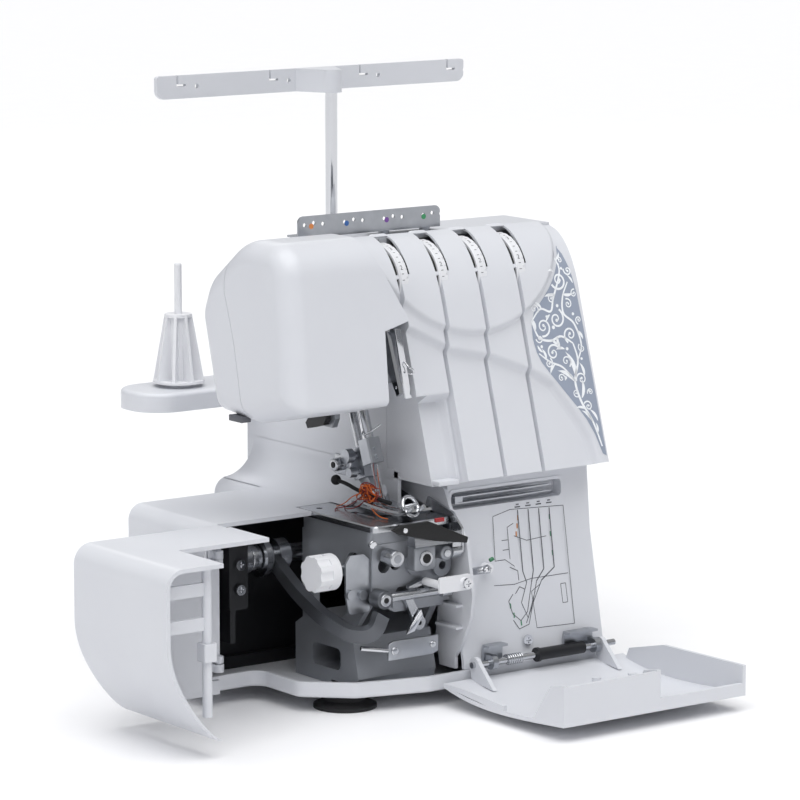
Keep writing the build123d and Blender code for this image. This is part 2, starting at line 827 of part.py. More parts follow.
# ---- main shaft, motor and belt ------------------------------------------------------------
with BuildPart() as main_shaft:
    with BuildSketch(Plane.YZ.offset(shaft_left)):
        with Locations((shaft_y, shaft_z)):
            Circle(shaft_radius)
    extrude(amount=shaft_right - 12 - shaft_left)
    for at, radius, length in ((-103, 9, 5), (-88, 12.5, 5), (-80, 10, 9), (-62, 13, 4), (-50, 10.5, 8)):
        with BuildSketch(Plane.YZ.offset(at)):
            with Locations((shaft_y, shaft_z)):
                Circle(radius)
        extrude(amount=length)
    with BuildSketch(Plane.YZ.offset(pulley_x - pulley_width / 2)):
        with Locations((shaft_y, shaft_z)):
            Circle(main_pulley_radius)
            with PolarLocations(main_pulley_radius - 12, 5):
                Circle(5, mode=Mode.SUBTRACT)
    extrude(amount=pulley_width)
save(main_shaft, "main_shaft")

with BuildPart() as handwheel:
    with BuildSketch(Plane.XY) as wheel_half:
        with BuildLine():
            Polyline(
                (shaft_radius + run, body_right + 1),
                (wheel_radius - 4, body_right + 1),
                (wheel_radius, body_right + 5),
                (wheel_radius - 1.5, body_right + wheel_width - 4),
                (wheel_radius - 6, body_right + wheel_width),
                (wheel_radius - 10, body_right + wheel_width - 3),
                (shaft_radius + 5, body_right + wheel_width - 6),
                (shaft_radius + run, body_right + wheel_width - 6),
                close=True,
            )
        make_face()
    revolve(axis=Axis.Y)
    wheel_turned = handwheel.part
wheel_place = Location((0, shaft_y, shaft_z)) * Location((0, 0, 0), (0, 0, -90))
with BuildPart() as handwheel:
    add(wheel_turned.moved(wheel_place))
    with BuildSketch(Plane.YZ.offset(body_right + 4)):
        with Locations((shaft_y, shaft_z)):
            with PolarLocations(wheel_radius + 1.2, 36):
                Circle(1.8)
    extrude(amount=wheel_width - 7, mode=Mode.SUBTRACT)
save(handwheel, "handwheel")

with BuildPart() as motor:
    with BuildSketch(Plane.YZ.offset(40)):
        with Locations((motor_y, motor_z)):
            Circle(motor_radius)
            with PolarLocations(motor_radius, 12):
                Rectangle(2, 2, mode=Mode.SUBTRACT)
    extrude(amount=62)
    with BuildSketch(Plane.YZ.offset(102)):
        with Locations((motor_y, motor_z)):
            Circle(9)
            Circle(3.2, mode=Mode.SUBTRACT)
    extrude(amount=6)
    with BuildSketch(Plane.YZ.offset(101)):
        with Locations((motor_y, motor_z)):
            Circle(3.2)
    extrude(amount=3, mode=Mode.SUBTRACT)
    with BuildSketch(Plane.XY.offset(tray_low + tray_thick)):
        with Locations((71, motor_y)):
            Rectangle(40, 36)
    extrude(until=Until.NEXT)
save(motor, "motor")

with BuildPart() as motor_pulley:
    with BuildSketch(Plane.YZ.offset(104.5)):
        with Locations((motor_y, motor_z)):
            Circle(3.0)
    extrude(amount=20)
    with BuildSketch(Plane.YZ.offset(pulley_x - pulley_width / 2)):
        with Locations((motor_y, motor_z)):
            Circle(motor_pulley_radius)
    extrude(amount=pulley_width)
save(motor_pulley, "motor_pulley")

belt_gap, belt_thick = 0.4, 1.8
with BuildPart() as drive_belt:
    with BuildSketch(Plane.YZ.offset(pulley_x - 3)) as belt_loop:
        with Locations((shaft_y, shaft_z)):
            Circle(main_pulley_radius + belt_gap + belt_thick)
        with Locations((motor_y, motor_z)):
            Circle(motor_pulley_radius + belt_gap + belt_thick)
        make_hull()
        offset(amount=-belt_thick, mode=Mode.SUBTRACT)
    extrude(amount=6)
save(drive_belt, "drive_belt")

bush_length = 11.0
with BuildPart() as bushes:
    for at, length in ((-97.0, 6), (leg_left + 1, leg_thick - 2)):
        with BuildSketch(Plane.YZ.offset(at)):
            with Locations((shaft_y, shaft_z)):
                Circle(shaft_radius + shaft_bush)
                Circle(shaft_radius + run, mode=Mode.SUBTRACT)
        extrude(amount=length)
    for place, radius in (
        (needle_plane(50), needle_bar_radius),
        (needle_plane(84), needle_bar_radius),
        (presser_plane(54), presser_bar_radius),
    ):
        with BuildSketch(place):
            Circle(radius + bush_wall)
            Circle(radius + run, mode=Mode.SUBTRACT)
        extrude(amount=bush_length)
save(bushes, "bushes")

with BuildPart() as power_inlet:
    with BuildSketch(Plane.XZ.offset(-body_back - 1)):
        with Locations((100, 44)):
            RectangleRounded(30, 24, 3)
    extrude(amount=1)
    with BuildSketch(Plane.XZ.offset(-body_back)):
        with Locations((100, 44)):
            Rectangle(24, 18)
    extrude(amount=14)
    with BuildSketch(Plane.XZ.offset(-body_back - 1)):
        with Locations((100, 44)):
            Rectangle(19, 13)
    extrude(amount=12, mode=Mode.SUBTRACT)
    with BuildSketch(Plane.XZ.offset(-body_back + 11)):
        with GridLocations(6, 0, 3, 1):
            with Locations((100, 44)):
                Circle(1.2)
    extrude(amount=-9)
save(power_inlet, "power_inlet")

# ---- bars, foot, take-up and knives --------------------------------------------------------
with BuildPart() as needle_bar:
    with BuildSketch(needle_plane(-2)):
        Circle(needle_bar_radius)
    extrude(amount=95)
save(needle_bar, "needle_bar")

with BuildPart() as needle_clamp:
    with BuildSketch(needle_plane(-10)):
        Rectangle(10, 11)
    extrude(amount=16)
    chamfer(needle_clamp.edges().filter_by(GeomType.LINE).group_by(Edge.length)[-1], 1)
    with BuildSketch(needle_plane(-2)):
        Circle(needle_bar_radius)
    extrude(amount=10, mode=Mode.SUBTRACT)
    for along in (-6.5, -1.5):
        place = needle_plane(along)
        front = Plane(origin=place.origin - place.y_dir * 5.4, x_dir=(1, 0, 0), z_dir=-place.y_dir)
        with BuildSketch(front):
            Circle(1.7)
        extrude(amount=1.8)
    with BuildSketch(needle_plane(-10)):
        with Locations((1.4, -1.5), (-1.4, 0)):
            Circle(0.55)
    extrude(amount=5, mode=Mode.SUBTRACT)
save(needle_clamp, "needle_clamp")

needle_drop = 24.0
with BuildPart() as needles:
    with BuildSketch(needle_plane(-10 - needle_drop)):
        with Locations((1.4, -1.5), (-1.4, 0)):
            Circle(0.5)
    extrude(amount=needle_drop + 4)
    with BuildSketch(needle_plane(-10 - needle_drop)) as shank_low:
        with Locations((1.4, -1.5), (-1.4, 0)):
            Circle(0.5)
    extrude(amount=-3, taper=8)
save(needles, "needles")

with BuildPart() as presser_bar:
    with BuildSketch(presser_plane(0)):
        Circle(presser_bar_radius)
    extrude(amount=74)
save(presser_bar, "presser_bar")

foot_pivot_y, foot_pivot_z = -4.0, 131.0
with BuildPart() as foot_holder:
    with BuildSketch(presser_plane(-13)):
        Rectangle(11, 12)
    extrude(amount=20)
    with BuildSketch(presser_plane(0)):
        Circle(presser_bar_radius)
    extrude(amount=10, mode=Mode.SUBTRACT)
    with BuildSketch(Plane.YZ.offset(presser_x - 5.5)):
        with Locations((presser_y + 1, presser_z + 2)):
            Circle(2.2)
        with Locations((presser_y - 3, presser_z - 8)):
            Circle(1.6)
    extrude(amount=-5)
    with BuildSketch(Plane.YZ.offset(presser_x - 8.5)):
        with Locations((presser_y + 1, presser_z + 2)):
            Circle(4.6)
        with Locations((presser_y - 3, presser_z - 8)):
            Circle(3.2)
    extrude(amount=-5)
    with BuildSketch(Plane.YZ.offset(presser_x - 3)):
        with BuildLine():
            Polyline(
                (presser_y - 7, presser_z - 9),
                (foot_pivot_y - 3, foot_pivot_z + 2),
                (foot_pivot_y - 3, foot_pivot_z - 2.4),
                (foot_pivot_y + 3, foot_pivot_z - 2.4),
                (presser_y + 2, presser_z - 13),
                close=True,
            )
        make_face()
    extrude(amount=6)
    with BuildSketch(Plane.YZ.offset(presser_x - 20)):
        with Locations((foot_pivot_y, foot_pivot_z)):
            Circle(1.5 + run)
    extrude(amount=40, mode=Mode.SUBTRACT)
save(foot_holder, "foot_holder")

sole_low = 121.6
with BuildPart() as presser_foot:
    with BuildSketch(Plane.YZ.offset(presser_x - 12)):
        with BuildLine():
            Polyline(
                (4, sole_low),
                (-46, sole_low),
                (-54, sole_low + 3.5),
                (-53, sole_low + 5),
                (-45, sole_low + 2.6),
                (-22, sole_low + 2.2),
                (-12, sole_low + 3.4),
                (4, sole_low + 3),
                close=True,
            )
        make_face()
    extrude(amount=20)
    for x in (presser_x - 6.4, presser_x + 3.4):
        with BuildSketch(Plane.YZ.offset(x)):
            with BuildLine():
                Polyline(
                    (foot_pivot_y - 9, sole_low + 2),
                    (foot_pivot_y - 3, foot_pivot_z + 3),
                    (foot_pivot_y + 3, foot_pivot_z + 3),
                    (foot_pivot_y + 7, sole_low + 2),
                    close=True,
                )
            make_face()
        extrude(amount=3)
    with BuildSketch(Plane.YZ.offset(presser_x - 6.4)):
        with Locations((foot_pivot_y, foot_pivot_z)):
            Circle(1.5)
    extrude(amount=12.8)
    # needle opening and stitch finger slot
    with BuildSketch(Plane.XY.offset(sole_low - 1)):
        with Locations((bar_x, -22)):
            SlotOverall(15, 9, rotation=90)
        with Locations((bar_x - 3, -44)):
            Rectangle(3, 24)
    extrude(amount=9, mode=Mode.SUBTRACT)
save(presser_foot, "presser_foot")

with BuildPart() as presser_lifter:
    with BuildSketch(Plane.YZ.offset(lifter_x - 4)):
        with BuildLine():
            Polyline((17, 172), (20, 182), (24, 179), (34, 174.5), (37, 171), (35, 167.5), (30, 168.5), close=True)
        make_face()
        with Locations((lifter_y, lifter_z)):
            Circle(5)
    extrude(amount=4)
    with BuildSketch(Plane.YZ.offset(lifter_x)):
        with Locations((lifter_y, lifter_z)):
            Circle(lifter_pin)
    extrude(amount=5.4)
save(presser_lifter, "presser_lifter")

with BuildPart() as take_up_lever:
    with BuildSketch(Plane.YZ.offset(take_x)):
        with BuildLine():
            Polyline(
                (rocker_y - 3, rocker_z + 6.4),
                (-27, 238.4),
                (-33, 237.4),
                (-47, 199),
                (-44, 197),
                (-36, 210),
                (rocker_y - 5, rocker_z - 4),
                close=True,
            )
        make_face()
        with Locations((rocker_y, rocker_z)):
            Circle(rocker_radius + 2.6)
            Circle(rocker_radius + run, mode=Mode.SUBTRACT)
        with Locations((-43.4, 202.5)):
            Circle(1.1, mode=Mode.SUBTRACT)
    extrude(amount=take_thick)
save(take_up_lever, "take_up_lever")

with BuildPart() as rocker_shaft:
    with BuildSketch(Plane.YZ.offset(arm_left + 4)):
        with Locations((rocker_y, rocker_z)):
            Circle(rocker_radius)
    extrude(amount=pocket_right + 11 - arm_left - 4)
    # arm that drives the needle bar's link
    with BuildSketch(Plane.YZ.offset(-36)):
        with Locations((rocker_y, rocker_z)):
            Circle(8)
        with Locations((rocker_y + 6, rocker_z)):
            Rectangle(14, 8)
    extrude(amount=8)
save(rocker_shaft, "rocker_shaft")

looper_y = -52.0
with BuildPart() as lower_looper:
    with BuildSketch(Plane.XZ.offset(-looper_y)):
        with Locations((-2, 54)):
            Circle(4.5)
        with BuildLine():
            Polyline((-6, 54), (-13, 70), (-10, 78), (4, 82), (5, 80), (-6, 75.5), (-8, 71), (0, 57), close=True)
        make_face()
        with Locations((-2, 54)):
            Circle(1.6, mode=Mode.SUBTRACT)
    extrude(amount=-3.2)
save(lower_looper, "lower_looper")

with BuildPart() as upper_looper:
    with BuildSketch(Plane.XZ.offset(34)):
        with Locations((-4, 66)):
            Circle(4.5)
        with BuildLine():
            Polyline((-8, 66), (-9, 88), (-4, 99), (-14, 101), (-15, 99), (-7.5, 96), (-12, 88), (-12, 70), close=True)
        make_face()
        with Locations((-4, 66)):
            Circle(1.6, mode=Mode.SUBTRACT)
    extrude(amount=-4)
save(upper_looper, "upper_looper")

blade_x = plate_right + 0.6
knife_y, knife_z = -56.0, 98.0
with BuildPart() as upper_knife:
    with BuildSketch(Plane.YZ.offset(-12)):
        with BuildLine():
            Polyline((-61, 104), (-60, 111), (-54, 111), (-52.5, 108), (-52.5, 104), close=True)
        make_face()
    extrude(amount=blade_x + 12)
    with BuildSketch(Plane.YZ.offset(blade_x - 7)):
        with Locations((knife_y, knife_z)):
            Circle(5)
        with Locations((knife_y, knife_z + 5)):
            Rectangle(8, 10)
    extrude(amount=7)
    with BuildSketch(Plane.YZ.offset(blade_x)):
        with BuildLine():
            Polyline((-61, 97), (-60, 112), (-50, 121), (-24, 127), (-22, 122), (-44, 112), (-52, 97), close=True)
        make_face()
        with Locations((knife_y, knife_z)):
            Circle(1.6, mode=Mode.SUBTRACT)
    extrude(amount=1.6)
save(upper_knife, "upper_knife")

with BuildPart() as lower_knife:
    with BuildSketch(Plane.YZ.offset(plate_right - 0.8)):
        with BuildLine():
            Polyline((-49.5, 96), (-49.5, 113.6), (-28, 113.6), (-34, 96), close=True)
        make_face()
    extrude(amount=1.2)
    with BuildSketch(Plane.XZ.offset(45)) as bracket_face:
        with BuildLine():
            Polyline((-51, 64), (-53.5, 76), (-53.5, 96), (-50, 101), (-40, 101), (-35.4, 97), (-35.4, 64), close=True)
        make_face()
        fillet(bracket_face.vertices(), 2.5)
        with Locations((-50.5, 76.5), (-41.5, 75.5)):
            Circle(1.7, mode=Mode.SUBTRACT)
    extrude(amount=-1.6)
    with BuildSketch(Plane.XZ.offset(47)):
        with Locations((-50.5, 76.5), (-41.5, 75.5)):
            Circle(3.1)
    extrude(amount=-2)
save(lower_knife, "lower_knife")

knob_y, knob_z = -37.0, 91.0
with BuildPart() as knife_shaft:
    with BuildSketch(Plane.YZ.offset(-68)):
        with Locations((knob_y, knob_z)):
            Circle(2.5)
    extrude(amount=12)
    with BuildSketch(Plane.YZ.offset(-57)):
        with Locations((knob_y, knob_z)):
            Circle(4)
    extrude(amount=13)
save(knife_shaft, "knife_shaft")
with BuildPart() as knife_knob:
    with BuildSketch(Plane.YZ.offset(-74)):
        with Locations((knob_y, knob_z)):
            Circle(11.5)
            with PolarLocations(11.5 + 4.5, 8):
                Circle(5.6, mode=Mode.SUBTRACT)
    extrude(amount=9)
    with BuildSketch(Plane.YZ.offset(-65)):
        with Locations((knob_y, knob_z)):
            Circle(11.5)
    extrude(amount=7)
    fillet(knife_knob.faces().sort_by(Axis.X)[-1].edges(), 1.2)
    with BuildSketch(Plane.YZ.offset(-68)):
        with Locations((knob_y, knob_z)):
            Circle(2.5 + run)
    extrude(amount=12, mode=Mode.SUBTRACT)
save(knife_knob, "knife_knob")

# ---- thread path ---------------------------------------------------------------------------
guide_left, guide_right = -50.0, 60.0
guide_y = 10.0
guide_low = body_top + 2.5
with BuildPart() as thread_guide_plate:
    with BuildSketch(Plane.XZ.offset(-guide_y)) as guide_face:
        with Locations(((guide_left + guide_right) / 2, guide_low + 6.75)):
            Rectangle(guide_right - guide_left, 13.5)
        fillet(guide_face.vertices().group_by(Axis.Y)[-1], 4)
        with Locations(*[(guide_left + 10 + i * 30.6, guide_low + 8) for i in range(4)]):
            with Locations((-5, 0), (2, 1), (9, 0)):
                Circle(1.3, mode=Mode.SUBTRACT)
    extrude(amount=-1.2)
    with BuildSketch(Plane.XY.offset(guide_low)):
        with Locations(((guide_left + guide_right) / 2, guide_y + 6)):
            Rectangle(guide_right - guide_left, 12)
    extrude(amount=1.2)
    with BuildSketch(Plane.XY.offset(body_top)):
        with Locations((body_left + 8, guide_y + 6), (guide_right - 8, guide_y + 6)):
            Circle(3.5)
    extrude(amount=2.5)
save(thread_guide_plate, "thread_guide_plate")

with BuildPart() as tension_spindles:
    for i in range(dial_count):
        x = dial_first + i * dial_pitch
        with BuildSketch(Plane.YZ.offset(x - dial_width / 2 - 5)):
            with Locations((dial_y, dial_z)):
                Circle(2.5)
        extrude(amount=dial_width + 10)
        with BuildSketch(Plane.YZ.offset(x - dial_width / 2 - 4)):
            with Locations((dial_y, dial_z)):
                Circle(11)
        extrude(amount=1.2)
        with BuildSketch(Plane.YZ.offset(x - dial_width / 2 - 2)):
            with Locations((dial_y, dial_z)):
                Circle(11)
        extrude(amount=1.2)
        with BuildSketch(Plane.YZ.offset(x + dial_width / 2 + 2.4)):
            with Locations((dial_y + 15, dial_z - 2)):
                Rectangle(36, 8)
        extrude(amount=2)
    with BuildSketch(Plane.XZ.offset(-dial_y - 28)):
        with Locations((dial_first + 1.5 * dial_pitch + 4, dial_z - 2)):
            Rectangle(3 * dial_pitch + 12, 16)
    extrude(amount=-2.4)
save(tension_spindles, "tension_spindles")

for i in range(dial_count):
    x = dial_first + i * dial_pitch
    with BuildPart() as tension_dial:
        with BuildSketch(Plane.YZ.offset(x - dial_width / 2)):
            with Locations((dial_y, dial_z)):
                Circle(dial_radius)
                Circle(2.5 + run, mode=Mode.SUBTRACT)
        extrude(amount=dial_width)
        chamfer(tension_dial.edges().filter_by(GeomType.CIRCLE).sort_by(Edge.length)[-2:], 1)
        with BuildSketch(Plane.YZ.offset(x - dial_width / 2)):
            with Locations((dial_y, dial_z)):
                Circle(dial_radius - 2.5)
                Circle(6, mode=Mode.SUBTRACT)
        extrude(amount=2.5, mode=Mode.SUBTRACT)
        with BuildSketch(Plane.YZ.offset(x + dial_width / 2)):
            with Locations((dial_y, dial_z)):
                with PolarLocations(dial_radius + 0.6, 30):
                    Circle(1.3)
        extrude(amount=-2.2, mode=Mode.SUBTRACT)
    save(tension_dial, f"tension_dial_{i + 1}")

with BuildPart() as looper_thread_guides:
    with BuildSketch(Plane.XZ.offset(70)) as guide_arm:
        with Locations((12, 80)):
            RectangleRounded(24, 10, 1.2)
    extrude(amount=-1.6)
    with BuildSketch(Plane.XZ.offset(73)):
        with Locations((19, 80)):
            Circle(3.4)
    extrude(amount=-3)
    with BuildSketch(Plane.XZ.offset(69)):
        with Locations((2, 80)):
            Circle(2.5)
    extrude(amount=-17)
    with BuildSketch(Plane.XZ.offset(53.5)):
        with Locations((52, 82)):
            Circle(3)
            Circle(1.2, mode=Mode.SUBTRACT)
    extrude(amount=-6)
save(looper_thread_guides, "looper_thread_guides")

# ---- antenna, spool stand and cones --------------------------------------------------------
tube_radius = mast_radius + run + mast_wall
with BuildPart() as antenna_tube:
    with BuildSketch(Plane.XY.offset(100)):
        with Locations((mast_x, mast_y)):
            Circle(tube_radius)
            Circle(mast_radius + run, mode=Mode.SUBTRACT)
    extrude(amount=170)
save(antenna_tube, "antenna_tube")

with BuildPart() as antenna_pole:
    with BuildSketch(Plane.XY.offset(200)):
        with Locations((mast_x, mast_y)):
            Circle(mast_radius)
    extrude(amount=mast_top - 200)
    chamfer(antenna_pole.edges().sort_by(Axis.Z)[-1], 0.8)
save(antenna_pole, "antenna_pole")

with BuildPart() as antenna_bar:
    with BuildSketch(Plane.XZ.offset(-antenna_y)) as bar_face:
        with Locations((mast_x - 1, antenna_low + antenna_height / 2)):
            Rectangle(2 * antenna_half, antenna_height)
        fillet(bar_face.vertices().group_by(Axis.Y)[0], 6)
        fillet(bar_face.vertices().group_by(Axis.Y)[-1], 2)
    extrude(amount=-3.2)
    with BuildSketch(Plane.XY.offset(antenna_low)):
        with BuildLine():
            Polyline(
                (mast_x - 16, antenna_y + 0.5),
                (mast_x - 6, mast_y - 3),
                (mast_x + 6, mast_y - 3),
                (mast_x + 16, antenna_y + 0.5),
                close=True,
            )
        make_face()
        with Locations((mast_x, mast_y)):
            Circle(7)
    extrude(amount=antenna_height)
    with BuildSketch(Plane.XY.offset(antenna_low - 1)):
        with Locations((mast_x, mast_y)):
            Circle(mast_radius + run)
    extrude(amount=mast_top - antenna_low + 1.2, mode=Mode.SUBTRACT)
    # thread hooks cut into the upper edge, and a thread hole beside each
    with BuildSketch(Plane.XZ.offset(-antenna_y + 1)):
        for i in range(4):
            x = mast_x + (i - 1.5) * spool_pitch
            with Locations((x, antenna_low + antenna_height - 3)):
                Rectangle(1.4, 8)
            with Locations((x + 3, antenna_low + antenna_height - 6.4)):
                Rectangle(7, 1.4)
            with Locations((x + 15, antenna_low + 7.5)):
                Circle(1.6)
    extrude(amount=-6, mode=Mode.SUBTRACT)
save(antenna_bar, "antenna_bar")

pin_places = [(spool_first + i * spool_pitch, spool_y) for i in range(4)]
stand_top = ledge_top + stand_thick
stand_middle = ((stand_left + stand_right) / 2, (stand_front + stand_back) / 2)
with BuildPart() as spool_stand:
    with BuildSketch(Plane.XY.offset(ledge_top)):
        with Locations(stand_middle):
            RectangleRounded(stand_right - stand_left, stand_back - stand_front, 22)
    extrude(amount=stand_thick)
    fillet(spool_stand.faces().sort_by(Axis.Z)[-1].outer_wire().edges(), 2.5)
    with BuildSketch(Plane.XY.offset(ledge_top)):
        with Locations(stand_middle):
            RectangleRounded(
                stand_right - stand_left - 2 * wall, stand_back - stand_front - 2 * wall, 19.4
            )
        with Locations(*pin_places, (mast_x, mast_y)):
            Circle(8, mode=Mode.SUBTRACT)
    extrude(amount=stand_thick - wall, mode=Mode.SUBTRACT)
    with BuildSketch(Plane.XY.offset(ledge_top - 1)):
        with Locations((mast_x, mast_y)):
            Circle(tube_radius + run)
    extrude(amount=stand_thick + 2, mode=Mode.SUBTRACT)
save(spool_stand, "spool_stand")

flange_thick = 2.5
with BuildPart() as spool_pins:
    with BuildSketch(Plane.XY.offset(stand_top)):
        with Locations(*pin_places):
            Circle(11)
    extrude(amount=flange_thick)
    with BuildSketch(Plane.XY.offset(stand_top)):
        with Locations(*pin_places):
            Circle(pin_radius)
    extrude(amount=pin_height)
    fillet(spool_pins.edges().group_by(Axis.Z)[-1], 1.5)
save(spool_pins, "spool_pins")

cone_low = stand_top + flange_thick + 0.1
with BuildPart() as cone_holders:
    for place in pin_places:
        with Locations((*place, cone_low + cone_height / 2)):
            for turn in range(4):
                Box(36, 1.8, cone_height, rotation=(0, 0, turn * 45))
    cones = [
        Solid.make_cone(17, 9, cone_height, Plane(origin=(*place, cone_low))) for place in pin_places
    ]
    add(cones, mode=Mode.INTERSECT)
    for place in pin_places:
        with BuildSketch(Plane.XY.offset(cone_low)):
            with Locations(place):
                Circle(6.5)
        extrude(amount=cone_height)
        with BuildSketch(Plane.XY.offset(cone_low)):
            with Locations(place):
                Circle(17)
        extrude(amount=1.6)
        with BuildSketch(Plane.XY.offset(cone_low + cone_height - 2)):
            with Locations(place):
                Circle(9)
        extrude(amount=2)
    with BuildSketch(Plane.XY.offset(cone_low - 1)):
        with Locations(*pin_places):
            Circle(pin_radius + run)
    extrude(amount=cone_height + 2, mode=Mode.SUBTRACT)
save(cone_holders, "cone_holders")

# ---- looper cover and its sprung hinge -----------------------------------------------------
lug_left, lug_right = 44.0, 127.0
lug_thick = 4.0
with BuildPart() as hinge_brackets:
    for lug, start, end in ((lug_left, 43, 58), (lug_right, 108, 131)):
        with BuildSketch(Plane.YZ.offset(lug)) as lug_side:
            with Locations((cover_axis_y, cover_axis_z)):
                Circle(4.6)
            with Locations((cover_axis_y + 3.4, cover_axis_z + 1)):
                Rectangle(6.8, 7)
            with Locations((cover_axis_y, cover_axis_z)):
                Circle(hinge_rod_radius, mode=Mode.SUBTRACT)
        extrude(amount=lug_thick)
        with BuildSketch(Plane.XZ.offset(-(cover_axis_y + 5))):
            with Locations(((start + end) / 2, cover_axis_z + 4)):
                RectangleRounded(end - start, 13, 2)
        extrude(amount=-2)
        with BuildSketch(Plane.XY.offset(cover_axis_z + 9)):
            with Locations(((start + end) / 2, cover_axis_y + 3)):
                Rectangle(end - start, 7)
        extrude(amount=1.5)
    with BuildSketch(Plane.YZ.offset(lug_left - 20)):
        with Locations((cover_axis_y, cover_axis_z)):
            Circle(hinge_rod_radius)
    extrude(amount=140, mode=Mode.SUBTRACT)
save(hinge_brackets, "hinge_brackets")

with BuildPart() as hinge_rod:
    with BuildSketch(Plane.YZ.offset(ear_left - 3.4)):
        with Locations((cover_axis_y, cover_axis_z)):
            Circle(hinge_rod_radius)
    extrude(amount=ear_right - ear_left + cover_slide + 7)
save(hinge_rod, "hinge_rod")

spring_left = 83.0
with BuildPart() as hinge_sleeve:
    with BuildSketch(Plane.YZ.offset(spring_left)):
        with Locations((cover_axis_y, cover_axis_z)):
            Circle(3.9)
            Circle(hinge_rod_radius + run, mode=Mode.SUBTRACT)
    extrude(amount=lug_right - cover_slide - 1 - spring_left)
    with BuildSketch(Plane.YZ.offset(spring_left - 2)):
        with Locations((cover_axis_y, cover_axis_z)):
            Circle(4.6)
            Circle(hinge_rod_radius + run, mode=Mode.SUBTRACT)
    extrude(amount=2)
save(hinge_sleeve, "hinge_sleeve")

# side views are drawn closed, then laid open: sketch x is inwards, sketch y is up when closed
flange_split = 86.0


def cover_plane(x):
    """The cover's side-view plane at x, laid open about the hinge line."""
    return Plane(origin=(x, cover_axis_y, cover_axis_z), x_dir=(0, 0, 1), z_dir=(1, 0, 0))


def cover_skin(inset):
    """The front wall's line from the hinge to the top, moved inwards by inset."""
    return [
        (cover_front + 6 + inset, -3),
        (cover_front + 1.2 + inset, 24),
        (cover_front + inset, 58),
        (cover_front + 3.5 + inset, cover_height),
    ]


right_wall = [
    (-16, 0.5),
    (-17, 58),
    (-13.5, cover_height),
    (5, cover_height),
    (4, 40),
    (-4, 6),
]
left_wing = [(-11, -2.5), (-17, 58), (-12, 58), (-9.5, 20), (-9.5, -2.5)]
ledge_end = [(-16.5, 86), (-13.5, cover_height), (11.5, cover_height), (9, 104), (-10, 90)]
with BuildPart() as looper_cover:
    with BuildSketch(cover_plane(cover_left)):
        with BuildLine():
            Spline(*cover_skin(0))
            Line(cover_skin(0)[-1], cover_skin(wall)[-1])
            Spline(*cover_skin(wall)[::-1])
            Line(cover_skin(wall)[0], cover_skin(0)[0])
        make_face()
    extrude(amount=cover_right - cover_left)
    # top flange: deep on the left, shallow on the right
    for left, right, deep in (
        (cover_left, flange_split, 25),
        (flange_split, cover_right, 8),
    ):
        with BuildSketch(cover_plane(left)):
            with Locations((cover_front + 3.5 + deep / 2, cover_height - wall / 2)):
                Rectangle(deep, wall)
        extrude(amount=right - left)
    for x, outline in (
        (cover_right - wall, right_wall),
        (cover_left, left_wing),
        (flange_split - wall, ledge_end),
        (cover_left, ledge_end),
    ):
        with BuildSketch(cover_plane(x)):
            with BuildLine():
                Polyline(*outline, close=True)
            make_face()
        extrude(amount=wall)
    # hinge ears
    for x in (ear_left, ear_right):
        with BuildSketch(cover_plane(x - ear_thick / 2)):
            Circle(4.8)
            with BuildLine():
                Polyline(
                    (2, 4.3),
                    (cover_front + 5, 20),
                    (cover_front + 7.5, -2),
                    (0, -4.7),
                    close=True,
                )
            make_face()
            Circle(hinge_rod_radius + run, mode=Mode.SUBTRACT)
        extrude(amount=ear_thick)
    # locating bosses on the inside
    boss_z = cover_axis_z + cover_front + 1.5
    with BuildSketch(Plane.XY.offset(boss_z)):
        with Locations((98, -104), (111, -112), (124, -108), (136, -116)):
            Circle(3)
    extrude(amount=7)
save(looper_cover, "looper_cover")

# ---- side door -----------------------------------------------------------------------------
# drawn closed about its hinge line, then laid open by the plane
door_place = Plane(origin=(door_axis_x, door_axis_y, 0), x_dir=(0, -1, 0), z_dir=(0, 0, 1))
door_start = -6.0
door_end = door_start + door_length
door_short = 47.0  # where the deep part of its top ends
door_deep_back = 6.0
door_shallow_back = -60.5
rod_depth = -66.0  # guide rod, from the hinge line


def door_section(x):
    """The door's side-view plane at local x: sketch x is inwards (closed +Y), sketch y is up."""
    origin = door_place.origin + door_place.x_dir * x
    return Plane(origin=origin, x_dir=door_place.y_dir, z_dir=door_place.x_dir)


def door_outline(inset):
    """Side view: top, rounded shoulder, upright wall, deep curve under to a lip."""
    out = -door_reach + inset
    top = bed_top - inset
    r = 12 - inset
    Polyline((door_deep_back + (20 if inset else 0), top), (out + r, top))
    RadiusArc((out + r, top), (out, top - r), -r)
    Line((out, top - r), (out, 74))
    Spline((out, 74), (out + 8, 44), (out + 26, 19), (out + 36, 11), tangents=((0, -1), (1, -0.55)))
    Polyline(
        (out + 36, 11),
        (out + 47, door_low + inset),
        (door_deep_back + (20 if inset else 0), door_low + inset),
        (door_deep_back + (20 if inset else 0), top),
    )


